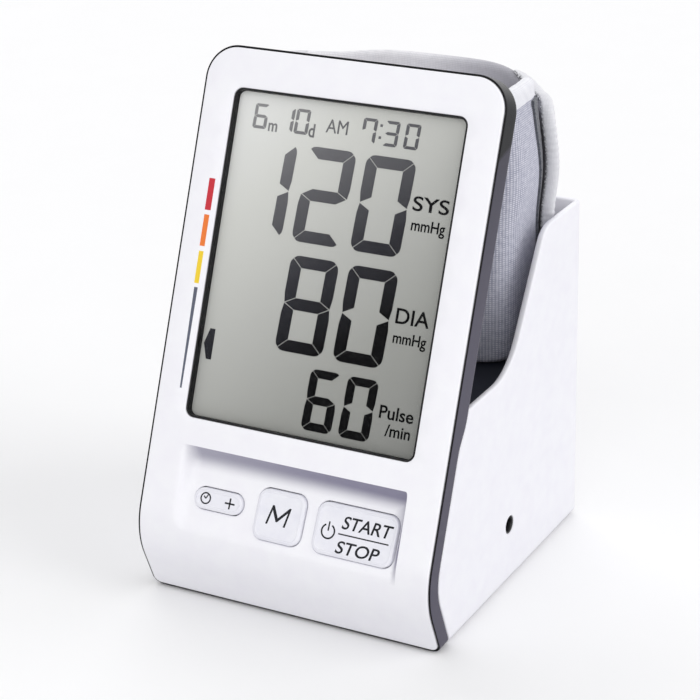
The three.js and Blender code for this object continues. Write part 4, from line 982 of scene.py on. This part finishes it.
# %% Colour scale
def scale_bar(name, colours, low, high, z0, z1):
    """Printed bar on the cover, from its left and right side at the bottom and at the top."""
    bar = prism([(low[0], z0), (low[1], z0), (high[1], z1), (high[0], z1)])
    ink = speckled(name + "_ink", colours, 0.6, 0.42, 0.04)
    return marks(name, [bar], lambda x, along: 0, INK, ink)


for name, colours, sides, z0, z1 in (
    ("scale_red", ("#C4122A", "#CE1B30"), (-55.7, -53.0), 162.6, 175.2),
    ("scale_orange", ("#EE7420", "#F47F2A"), (-55.5, -53.2), 148.3, 160.8),
    ("scale_yellow", ("#F4CF1E", "#F8D832"), (-55.35, -53.25), 133.5, 146.3),
):
    piece = scale_bar(name, colours, sides, sides, z0, z1)
    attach(piece, "housing")
tail_piece = scale_bar("scale_grey", ("#4E5364", "#5A5F70"),
                       (-54.5, -53.7), (-55.0, -53.4), 91.7, 131.9)
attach(tail_piece, "housing")

# %% [markdown]
# ## Reading on the display
# The window is lined in black, and a clear pane and the display glass sit inside the lining.
# Every digit is made of seven flat segments with thin gaps, some of them dark. They lie on
# the front of the liquid crystal glass, behind the pane, so they have a depth of their own.

# %% Display reading
LINING = 0.85
PANE_FRONT, PANE_BACK, GLASS_FRONT, GLASS_BACK = 0.9, 1.9, 3.5, 6.3
SEGMENT_LEAN = 0.034  # sideways per height, about the middle of a digit
LIT = {"0": "abcdef", "1": "bc", "2": "abged", "3": "abgcd", "6": "afgedc", "7": "fabc",
       "8": "abcdefg"}


def window_ring(name, rows):
    """Closed ring round the window, from a section of (inset, depth) rows."""
    loops = [window_outline(inset) for inset, _ in rows]
    count = min(len(loop) for loop in loops)
    points = []
    for loop, (_, depth) in zip(loops, rows):
        loop = loop[np.linspace(0, len(loop), count, endpoint=False).astype(int)]
        points.append(panel_point(*loop.T, depth))
    return new_piece(name, np.concatenate(points), grid_faces(len(rows), count, True, True))


def flat_plate(name, front, back):
    """Plate that fills the lining, with a fine chamfer in front."""
    return moulded_plate(name, (window_outline(LINING), [0.0, 0.12], [0.12, 0.0]), [],
                         field(-44, 44, 88, 205, 14, 14), [],
                         lambda x, along, drop: panel_point(x, along, front + drop),
                         lambda x, along: panel_point(x, along, back))


lining = window_ring("window_lining", [
    (0.12, 2.7), (0.12, 0.6), (0.2, 0.42), (0.35, 0.35), (0.62, 0.35), (0.77, 0.42),
    (LINING - 0.02, 0.6), (LINING - 0.02, 4.0), (-7.5, 4.0), (-7.5, 2.7),
])
paint(lining, bezel_black)
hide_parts("lcd_bezel")
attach(lining, "housing")
pane = flat_plate("window_pane", PANE_FRONT, PANE_BACK)
paint(pane, lens_clear)
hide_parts("window_lens")
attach(pane, "housing")
glass = flat_plate("display_glass", GLASS_FRONT, GLASS_BACK)
paint(glass, lcd_glass)
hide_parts("lcd_panel")
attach(glass, "housing")


def digit(character, x0, z0, w, h, across, down):
    """Flat prisms of one digit, w wide and h high. Upright strokes are across wide, level ones
    down; g is half a gap, r the outer corners' radius, and p how far the waist is drawn in."""
    m, g, r, p = h / 2, 0.08 + 0.025 * across, 0.75 * across, 0.12 * across
    halfway, far, near = 0.293 * r, 0.617 * r, 0.076 * r  # points on the corner's round
    top = [(r, h), (w - r, h), (w - far, h - near), (w - halfway - g, h - halfway),
           (w - across - g, h - down), (across + g, h - down), (halfway + g, h - halfway),
           (far, h - near)]
    right = [(w - halfway, h - halfway - g), (w - near, h - far), (w, h - r),
             (w, m + 0.9 * down), (w - p, m + g), (w - across, m + down / 2 + g),
             (w - across, h - down - g)]
    middle = [(p + 2 * g, m), (across + g, m + down / 2), (w - across - g, m + down / 2),
              (w - p - 2 * g, m), (w - across - g, m - down / 2), (across + g, m - down / 2)]
    shapes = {
        "a": top, "b": right, "g": middle,
        "c": [(x, h - z) for x, z in right], "d": [(x, h - z) for x, z in top],
        "f": [(w - x, z) for x, z in right], "e": [(w - x, h - z) for x, z in right],
    }
    return [prism([(x0 + x + SEGMENT_LEAN * (z - m), z0 + z) for x, z in shapes[segment]])
            for segment in LIT[character]]


def on_glass(x, along):
    """Depth of the display glass."""
    return GLASS_FRONT


segments = []
for characters, places, *sizes in (
    ("120", (-42.4, -16.7, 9.0), 156.1, 21.2, 37.2, 5.0, 4.6),
    ("80", (-16.6, 9.0), 113.4, 21.1, 37.4, 5.1, 4.6),
    ("60", (-0.1, 16.15), 85.0, 13.2, 23.8, 3.55, 3.25),
    ("610730", (-42.04, -30.32, -23.51, 5.74, 15.26, 24.07), 197.2, 6.1, 9.7, 1.3, 1.15),
):
    for character, x0 in zip(characters, places):
        segments += digit(character, x0, *sizes)
for z in (199.6, 204.2):
    segments.append(prism([(13.15, z), (14.15, z), (14.15, z + 1.0), (13.15, z + 1.0)]))
segments.append(prism([(-48.7, 110.7), (-46.8, 104.6), (-44.5, 104.6), (-44.5, 116.8),
                       (-46.8, 116.8)]))
digits = marks("display_segments", segments, on_glass, 0.12, digit_ink)
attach(digits, "housing")

words = [text_points(body, box, 0.0, weight) for body, weight, box in (
    ("SYS", 0.01, (31.89, 47.02, 174.7, 180.3)), ("mmHg", 0.014, (32.59, 46.72, 165.8, 171.6)),
    ("DIA", 0.01, (32.29, 46.41, 131.7, 137.6)), ("mmHg", 0.014, (32.49, 46.41, 122.8, 128.5)),
    ("Pulse", 0.014, (31.79, 46.21, 95.2, 100.3)), ("/min", 0.014, (35.29, 45.91, 88.8, 93.5)),
    ("m", 0.014, (-35.03, -31.12, 196.7, 200.0)), ("d", 0.014, (-17.10, -14.49, 196.6, 201.8)),
    ("AM", 0.0, (-9.79, -0.37, 199.3, 204.5)),
)]
labels = marks("display_words", words, on_glass, 0.1, word_ink)
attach(labels, "housing")
print("display:", len(digits.data.polygons), "+", len(labels.data.polygons), "faces")

# %% [markdown]
# ## Rolled cuff
# The cuff is a padded strip wound into an oval that stands in the bay. It is one closed grid:
# columns step along the winding, rows go once round the strip. Its fabric is a little wavy, and
# the same wave is used for every turn, so that turns never touch. A cloth simulation would
# press the close turns together, so the form is a formula.

# %% Rolled cuff
CUFF_LOW, CUFF_HIGH = 87.1, 198.1
CUFF_TURNS, HALF_PAD = 1.82, 2.6
FREE_END = np.radians(15)  # angle at which the winding ends outside
CUFF_HALF_X, CUFF_HALF_Y, CUFF_Y, TURN_STEP = 59.3, 26.3, 122.0, 6.3
OVAL_POWER = 2 / 4.1
BEND = 10.0  # radius of the free end's upper corner
RIM_FALL, FALL_REACH = 14.5, 18.0  # how far, and over what length, the rim falls to the end
SLACK, SLACK_AT, SLACK_REACH = 3.4, 107, 20
INNER_FALL = 9.0
WAVE, RIPPLE = 0.3, 0.16
LEAN_AT, LEAN_OVER, LEAN_BY = 139, 24, 2.1  # of the turn at the right: outwards
CURL_AT, CURL_OVER, CURL_BY = 162, 36, 3.0  # and back inwards above
STITCH_TOP, STITCH_FOOT, STITCH = 9.5, 8, 0.9  # seams of the padded face, and their width
PALE_BEFORE, GREY_TO, INNER_FROM = 0.06, 0.36, 1.06  # turns at which the rim changes cloth
RIBS_FROM = 0.45  # turns
NEAR = 0.8  # half the length over which the winding's direction is taken

fine_turns = np.linspace(-0.02, CUFF_TURNS, 40000)
angle = FREE_END + fine_turns * 2 * np.pi


def oval(half, across):
    """One coordinate of the winding: (half - step * turns) * sign(c) * |c| ^ power."""
    return (half - TURN_STEP * fine_turns) * np.sign(across) * np.abs(across) ** OVAL_POWER


fine_x = oval(CUFF_HALF_X, np.cos(angle))
fine_y = CUFF_Y + oval(CUFF_HALF_Y, np.sin(angle))
fine_length = np.concatenate([[0], np.cumsum(np.hypot(np.diff(fine_x), np.diff(fine_y)))])
fine_length -= np.interp(0, fine_turns, fine_length)


def place_at(length):
    """(x, y) of the winding's middle line at lengths from its free end."""
    return np.stack([np.interp(length, fine_length, fine) for fine in (fine_x, fine_y)], axis=-1)


def winding(length):
    """Middle points of the winding at lengths from its free end: turns, (x, y), outward."""
    along = place_at(length + NEAR) - place_at(length - NEAR)
    along /= np.linalg.norm(along, axis=-1, keepdims=True)
    outward = np.stack([along[..., 1], -along[..., 0]], axis=-1)
    return np.interp(length, fine_length, fine_turns), place_at(length), outward


def sway(turns, z):
    """Slow waves of the fabric, the same on every turn, a lean over the right-hand wall, and
    above that a curl back inwards."""
    around = 2 * np.pi * turns
    wave = WAVE * np.sin(2 * around + 0.8) * np.sin((z - 88) / 31)
    wave = wave + RIPPLE * np.sin(7 * around + z / 17)
    near_right = smooth_step(1 - np.abs(turns) / 0.2)
    near_right = near_right + 0.85 * smooth_step(1 - np.abs(turns - 1) / 0.2)
    lean = LEAN_BY * smooth_step((z - LEAN_AT) / LEAN_OVER)
    lean = lean - CURL_BY * smooth_step((z - CURL_AT) / CURL_OVER)
    return wave * smooth_step((z - 88) / 30) + lean * near_right


def rim_drop(length):
    """How far the rim lies below the top. It falls to the free end as exp(-(length / reach)^2)
    and round a corner, hangs a little slack at the back left, and is lower on the inner turns."""
    slack = SLACK * np.exp(-((length - SLACK_AT) / SLACK_REACH) ** 2)
    inner = INNER_FALL * smooth_step((winding(length)[0] - 1.0) / 0.08)
    corner = BEND - np.sqrt(BEND ** 2 - np.clip(BEND - length, 0, BEND) ** 2)
    return RIM_FALL * np.exp(-(length / FALL_REACH) ** 2) + corner + slack + inner


def on_strip(length, z, offset):
    """Point beside the winding at a height, at an offset from its middle line."""
    turns, point, normal = winding(length)
    push = offset + sway(turns, z)
    return np.stack([point[..., 0] + normal[..., 0] * push, point[..., 1] + normal[..., 1] * push,
                     np.broadcast_to(z, push.shape)], axis=-1)


def strip_uv(piece, length, z):
    """UV map of length and height in metres, from one value of each per point."""
    layer = piece.data.uv_layers.new(name="strip")
    corner = np.empty(len(piece.data.loops), np.int32)
    piece.data.loops.foreach_get("vertex_index", corner)
    length, z = np.broadcast_arrays(length, z)
    values = np.stack([length.ravel()[corner], z.ravel()[corner]], axis=1) * MM
    layer.data.foreach_set("uv", values.ravel())


total_length = float(np.interp(CUFF_TURNS, fine_turns, fine_length))
ease = np.array([0, 0.15, 0.5, 1.0, 1.7])
lengths = np.concatenate([ease, np.linspace(HALF_PAD, total_length - HALF_PAD, 360),
                          total_length - ease[::-1]])
from_end = np.minimum(lengths, total_length - lengths)
end_pinch = np.maximum(quarter_round(from_end / HALF_PAD), 0.1)

face_z = np.linspace(CUFF_LOW + HALF_PAD, CUFF_HIGH - HALF_PAD, 74)
groove = 0.35 * np.exp(-((face_z - CUFF_HIGH + STITCH_TOP) / STITCH) ** 2)
groove += 0.3 * np.exp(-((face_z - CUFF_LOW - STITCH_FOOT) / STITCH) ** 2)
share = (face_z - CUFF_LOW) / (CUFF_HIGH - CUFF_LOW)
puff = HALF_PAD - groove - 0.25 * (1 - np.sin(np.pi * share))
rise = np.linspace(0, np.pi, 11)[1:-1]
section_offset = np.concatenate([puff, puff[-1] * np.cos(rise), -puff[::-1],
                                 -puff[0] * np.cos(rise)])
section_z = np.concatenate([face_z, face_z[-1] + HALF_PAD * np.sin(rise), face_z[::-1],
                            face_z[0] - HALF_PAD * np.sin(rise)])
lowered = 1 - rim_drop(lengths)[:, None] / (CUFF_HIGH - CUFF_LOW)
grid_z = CUFF_LOW + (section_z - CUFF_LOW) * lowered
cuff = tube("rolled_cuff", on_strip(lengths[:, None], grid_z, section_offset * end_pinch[:, None]),
            np.radians(80))
strip_uv(cuff, lengths[:, None], grid_z)


def fabric(name, colours, rib_mm, thread_mm, depth_mm, roughness=0.9, sheen=0.25):
    """Woven cloth on the strip's own length and height: a wave across gives the ribs, a wave
    along the height the cross threads, and noise breaks both up."""
    material, shader, _ = new_material(name, roughness, Sheen_Weight=sheen, Sheen_Roughness=0.4)
    strip = add(material, "UVMap", uv_map="strip")["UV"]
    period = 2 * np.pi / 20
    ribs, threads = (add(material, "TexWave", {
        "Vector": strip, "Scale": period / (size_mm * MM), "Distortion": distortion,
        "Detail": 1.0, "Detail Scale": detail_scale}, bands_direction=direction)["Fac"]
        for size_mm, distortion, detail_scale, direction in (
            (rib_mm, 0.6, 1.5, "X"), (thread_mm, 1.0, 1.0, "Y")))
    fuzz = noise(material, strip, 2.2, 5.0)
    weave = calc(material, "MULTIPLY_ADD", ribs, threads, 0.0)
    total = calc(material, "ADD", weave, fuzz)
    colour = ramp(material, total, [(0.35, colours[0]), (0.8, colours[1]), (1.0, colours[2])])
    link(material, colour, shader["Base Color"])
    emboss(material, shader, total, depth_mm, 0.8)
    return material


# The lining darkens towards the free end, where the flap keeps the light from it.
ribbed_cloth = fabric("ribbed_nylon", ("#9EA0B2", "#BCBDCB", "#DADAE4"), 1.15, 0.85, 0.1)
lining_cloth = fabric("grey_lining", ("#E4E4E7", "#F0F0F2", "#F8F8FA"), 0.7, 0.7, 0.05)
strip = add(lining_cloth, "UVMap", uv_map="strip")["UV"]
length_of = add(lining_cloth, "SeparateXYZ", {"Vector": strip})["X"]
fade = ramp(lining_cloth, spread(lining_cloth, length_of, 0.02, 0.08), [
    (0.0, "#AEADB3"), (0.35, "#D2D1D6"), (0.7, "#F9F8FA"), (1.0, "#FCFBFC")])
overlay(lining_cloth, 1.0, fade, "MULTIPLY")
rim_cloth = fabric("pale_rim_cloth", ("#D2D2D6", "#DDDDE1", "#E6E6EA"), 0.6, 0.6, 0.03, 0.75)
paint(cuff, ribbed_cloth, lining_cloth, rim_cloth)

tall, round_over = len(face_z), len(rise)
column, row = np.divmod(grid_faces(*grid_z.shape, False, True)[:, 0], grid_z.shape[1])
face_turns = winding(lengths[column])[0]
outer = row < tall - 1
inner = (row >= tall + round_over) & (row < 2 * tall + round_over - 1)
rim = (row >= tall - 1) & (row < tall + round_over)
foot = row >= 2 * tall + round_over - 1
near_end = (row > tall) & (face_turns > PALE_BEFORE) & (face_turns < GREY_TO)
grey_rim = rim & (near_end | (face_turns > INNER_FROM))
index = np.where(inner | grey_rim, 1, np.where((outer | foot) & (face_turns > RIBS_FROM), 0, 2))
cuff.data.polygons.foreach_set("material_index", np.append(index, [2, 2]).astype(np.int32))
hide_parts("cuff_sleeve", "cuff_bladder")
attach(cuff, "cuff")
print("rolled cuff:", len(index), "faces,", round(total_length), "mm of strip")

# %% [markdown]
# A white satin tape is folded over the top edge of the turn that shows in front. It is wider
# at its left end and creased slantwise where it has been pulled round the bend.

# %% Satin tape
HEM_FROM, HEM_WIDEST, HEM_TO = 0.605, 0.83, 0.985  # turns

hem_ends = np.interp([HEM_FROM, HEM_TO], fine_turns, fine_length)
hem_length = np.linspace(*hem_ends, 130)[:, None]
hem_height = np.interp(winding(hem_length)[0], [HEM_FROM, HEM_WIDEST, HEM_TO], [8.5, 9.0, 6.5])
top_z = CUFF_HIGH - HALF_PAD
reach = np.linspace(0, 1, 22)[:10]
turn = np.linspace(0, np.pi, 12)[1:]
over = top_z + np.concatenate([(HALF_PAD + 0.35) * np.sin(turn), [-1.2, -2.4, -3.4]])
hem_z = np.concatenate([top_z - (hem_height - HALF_PAD) * (1 - reach / reach[9]),
                        np.broadcast_to(over, (130, 14))], axis=1)
hem_side = np.concatenate([np.ones(10), np.cos(turn), -np.ones(3)])
crease = np.sin((hem_length * 1.05 + (hem_z - top_z) * 1.3) / 1.25) * np.sin(hem_length / 4.3 + 1)
outer_skin = on_strip(hem_length, hem_z, hem_side * (HALF_PAD + 0.38 + 0.26 * crease))
inner_skin = on_strip(hem_length, hem_z - 0.3 * (hem_z > top_z), hem_side * (HALF_PAD - 0.35))
loop_points = np.concatenate([outer_skin, inner_skin[:, ::-1]], axis=1)
hem = tube("cuff_top_hem", loop_points, np.radians(60))
strip_uv(hem, hem_length, loop_points[..., 2])
satin = fabric("satin_edge_tape", ("#E3E3EA", "#EDEDF2", "#F6F6F9"), 0.45, 0.5, 0.02, 0.45, 0.1)
paint(hem, satin)
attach(hem, "cuff")

# %% [markdown]
# The bound edge climbs the free end, goes round the corner and runs on along the rim. Its
# path lies on the strip, so it is worked out in length and height and then wound like the
# strip. Its inner side is ragged with dark threads.

# %% Bound edge
RUN = 13.0  # along the rim, past the corner
PUCKER_STEP, END_CLOSE = 2.7, 1.6

end_top = CUFF_HIGH - float(rim_drop(np.array([BEND]))[0])
climb = np.linspace(CUFF_LOW + 0.5, end_top - BEND, 190)
bend = np.linspace(0, np.pi / 2, 30)[1:]
run = np.linspace(BEND, BEND + RUN, 40)[1:]
path_s = np.concatenate([np.zeros(190), BEND * (1 - np.cos(bend)), run])[:, None]
path_z = np.concatenate([climb, end_top - BEND + BEND * np.sin(bend),
                         CUFF_HIGH - rim_drop(run)])[:, None]
path = np.concatenate([path_s, path_z], axis=1)
tangent = np.gradient(path, axis=0)
tangent /= np.hypot(*tangent.T)[:, None]
walked = np.concatenate([[0], np.cumsum(np.hypot(*np.diff(path, axis=0).T))])[:, None]
pucker = 0.05 * np.sin(2 * np.pi * walked / PUCKER_STEP) * (0.6 + 0.4 * np.sin(walked / 6.1))
to_end = np.minimum(walked, (walked[-1] - walked) / 6)
size = (1 + pucker) * np.maximum(quarter_round(to_end / END_CLOSE), np.sqrt(0.002))
turn = np.arange(28) / 28 * 2 * np.pi
outward = 0.6 + 1.5 * np.sin(turn) * size
bound = tube("bound_edge", on_strip(path_s - tangent[:, 1:] * outward,
                                    path_z + tangent[:, :1] * outward,
                                    (HALF_PAD + 0.15) * np.cos(turn) * size), np.radians(70))
strip_uv(bound, turn * 2.0, walked)
bound_cloth = fabric("bound_edge_cloth", ("#D9D9DD", "#E4E4E8", "#EDEDF0"), 0.45, 0.5, 0.03,
                     0.6, 0.15)
strip = add(bound_cloth, "UVMap", uv_map="strip")["UV"]
around = add(bound_cloth, "SeparateXYZ", {"Vector": strip})["X"]
threads = noise(bound_cloth, strip, 1.1, 4.0)
reach = calc(bound_cloth, "MULTIPLY_ADD", threads, 0.003, around)
ragged = spread(bound_cloth, reach, 0.0056, 0.0066)
dark = ramp(bound_cloth, threads, [(0.42, "#46474D"), (0.52, "#B9B9BE"), (0.62, "#F0F0F2")])
overlay(bound_cloth, ragged, dark)
paint(bound, bound_cloth)
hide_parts("cuff_edge_binding")
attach(bound, "cuff")

# %% [markdown]
# The patch of hook tape lies on the turn below, in the wedge that the free end leaves open. It
# narrows downwards, and its surface is a fuzz of fine hooks.

# %% Hook tape
PATCH_TO = 0.996  # turns
PATCH_LOW, PATCH_HIGH = 91.1, 190.1

patch_z = np.linspace(PATCH_LOW, PATCH_HIGH, 100)[:, None]
patch_from = np.interp(patch_z, [PATCH_LOW, 130, 150, 176, PATCH_HIGH],
                       [0.9905, 0.9895, 0.985, 0.972, 0.968])
patch_turns = patch_from + np.linspace(0, 1, 12) * (PATCH_TO - patch_from)
patch_length = np.interp(patch_turns, fine_turns, fine_length)
rough = np.sin(patch_length * 5.1 + patch_z * 3.7) * np.sin(patch_z * 4.9 + patch_length)
upper = on_strip(patch_length, patch_z, 3.5 + 0.12 * rough)
lower = on_strip(patch_length, patch_z, 2.3)
patch = tube("hook_tape_patch", np.concatenate([upper, lower[:, ::-1]], axis=1), np.radians(60))
hook_fuzz = speckled("hook_tape_fuzz", ("#3E4148", "#6D7078"), 0.55, 0.95, 0.03, 0.35,
                     Sheen_Weight=0.4)
paint(patch, hook_fuzz)
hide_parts("cuff_hook_patch")
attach(patch, "cuff")
print("cuff trims:", sum(len(piece.data.polygons) for piece in (hem, bound, patch)), "faces")

# %% [markdown]
# ## Finishes of the CAD parts
# Parts whose shape is already right stay as they are and get the finish of the real thing.

# %% Finishes of the CAD parts
FINISHES = (
    (board_green, ("main_board", "button_board")),
    (rear_satin, ("display_rear_cover",)), (bay_black, ("bay_floor",)),
    (base_satin, ("base_cover", "battery_door")), (cell_wrap, ("aa_cell",)),
    (nickel_strip, ("battery_contact",)), (rubber_grey, ("rubber_foot",)),
    (zinc_steel, ("base_screw", "pump_motor", "release_valve")), (pump_black, ("pump_head",)),
    (chip_grey, ("start_switch", "memory_switch", "set_switch", "plus_switch",
                 "pressure_sensor")),
    (silicone_hose, ("air_line",)), (socket_black, ("buzzer", "dc_socket", "air_socket")),
)
dressed = 0
for name, node in nodes.items():
    for material, starts in FINISHES:
        if name.startswith(starts):
            paint(node, material)
            dressed += 1
print("CAD nodes with a finish:", dressed)

# %% [markdown]
# ## Camera, floor and light
# The camera stands where the photograph was taken: its place and turn follow from the corners
# of the window and the case. The floor is a plain white sheet and the world an even soft tent,
# which shows white where it is looked at. Three wide suns, from the right, the left and the
# front, give the faces their different light and the object its soft shadow.

# %% Camera, floor and light
AZIMUTH, ELEVATION, ROLL = 28.864, 23.032, 1.522
CAMERA_PLACE = (0.394398, -0.724623, 0.442156)
FOCAL_LENGTH, IMAGE_SIZE = 2233.952, 700  # in the photograph's own pixels
FILM = 36.0
TENT = (0.64, 0.64, 0.65, 1)


def camera_turn(azimuth, elevation, roll):
    """Right, down and forward directions of a camera that looks back along azimuth, down by
    elevation, then rolls about its own line of sight."""
    a, e, r = np.radians([azimuth, elevation, roll])
    forward = np.array([-np.sin(a) * np.cos(e), np.cos(a) * np.cos(e), -np.sin(e)])
    right = np.array([np.cos(a), np.sin(a), 0.0])
    down = np.cross(forward, right)
    c, k = np.cos(r), np.sin(r)
    return c * right + k * down, -k * right + c * down, forward


right, down, forward = camera_turn(AZIMUTH, ELEVATION, ROLL)
lens = bpy.data.cameras.new("camera")
lens.sensor_width = FILM
lens.lens = FOCAL_LENGTH / IMAGE_SIZE * FILM
lens.clip_start, lens.clip_end = 0.05, 30.0
camera = in_scene("camera", lens)
turn = Matrix(np.stack([right, -down, -forward], axis=1).tolist()).to_4x4()
camera.matrix_world = Matrix.Translation(CAMERA_PLACE) @ turn
bpy.context.scene.camera = camera

floor_mesh = bpy.data.meshes.new("floor")
floor_mesh.from_pydata([(-6, -6, 0), (6, -6, 0), (6, 6, 0), (-6, 6, 0)], [], [(0, 1, 2, 3)])
floor = in_scene("floor", floor_mesh)
paper = speckled("white_paper_floor", ("#FAFAFA", "#FBFBFB"), 40, 0.9, 0.02,
                 Specular_IOR_Level=0.1)
seen = add(paper, "LightPath")["Is Camera Ray"]
base_colour = paper.node_tree.nodes["Principled BSDF"].inputs["Base Color"]
plain = base_colour.links[0].from_socket
link(paper, mix(paper, seen, linear("#DFDFE1"), plain), base_colour)
paint(floor, paper)
floor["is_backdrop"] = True

world = bpy.data.worlds.new("tent")
world.use_nodes = True
bpy.context.scene.world = world
tent = world.node_tree.nodes["Background"]
tent.inputs["Color"].default_value = TENT
white = add(world, "Background", {"Color": (1, 1, 1, 1)})["Background"]
ray = add(world, "LightPath")
seen = calc(world, "MAXIMUM", ray["Is Camera Ray"], ray["Is Glossy Ray"])
seen = calc(world, "MAXIMUM", seen, ray["Is Transmission Ray"])
shown = add(world, "MixShader", {"Fac": seen, 1: tent.outputs["Background"], 2: white})
link(world, shown["Shader"], world.node_tree.nodes["World Output"].inputs["Surface"])

for name, energy, width, lights_from in (("right_sun", 0.95, 50, (0.85, 0.2, 0.49)),
                                         ("left_sun", 0.6, 50, (-0.5, 0.6, 0.62)),
                                         ("front_sun", 0.78, 70, (0.1, -0.88, 0.47))):
    light = bpy.data.lights.new(name, "SUN")
    light.energy, light.angle = energy, np.radians(width)
    in_scene(name, light).rotation_euler = Vector(lights_from).to_track_quat("Z", "Y").to_euler()

bpy.context.scene.view_settings.view_transform = "Standard"

# %% Sizes and the end
shown_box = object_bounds()
sizes = {"cad": [list(corner) for corner in cad_box], "visual": [list(corner) for corner in shown_box]}
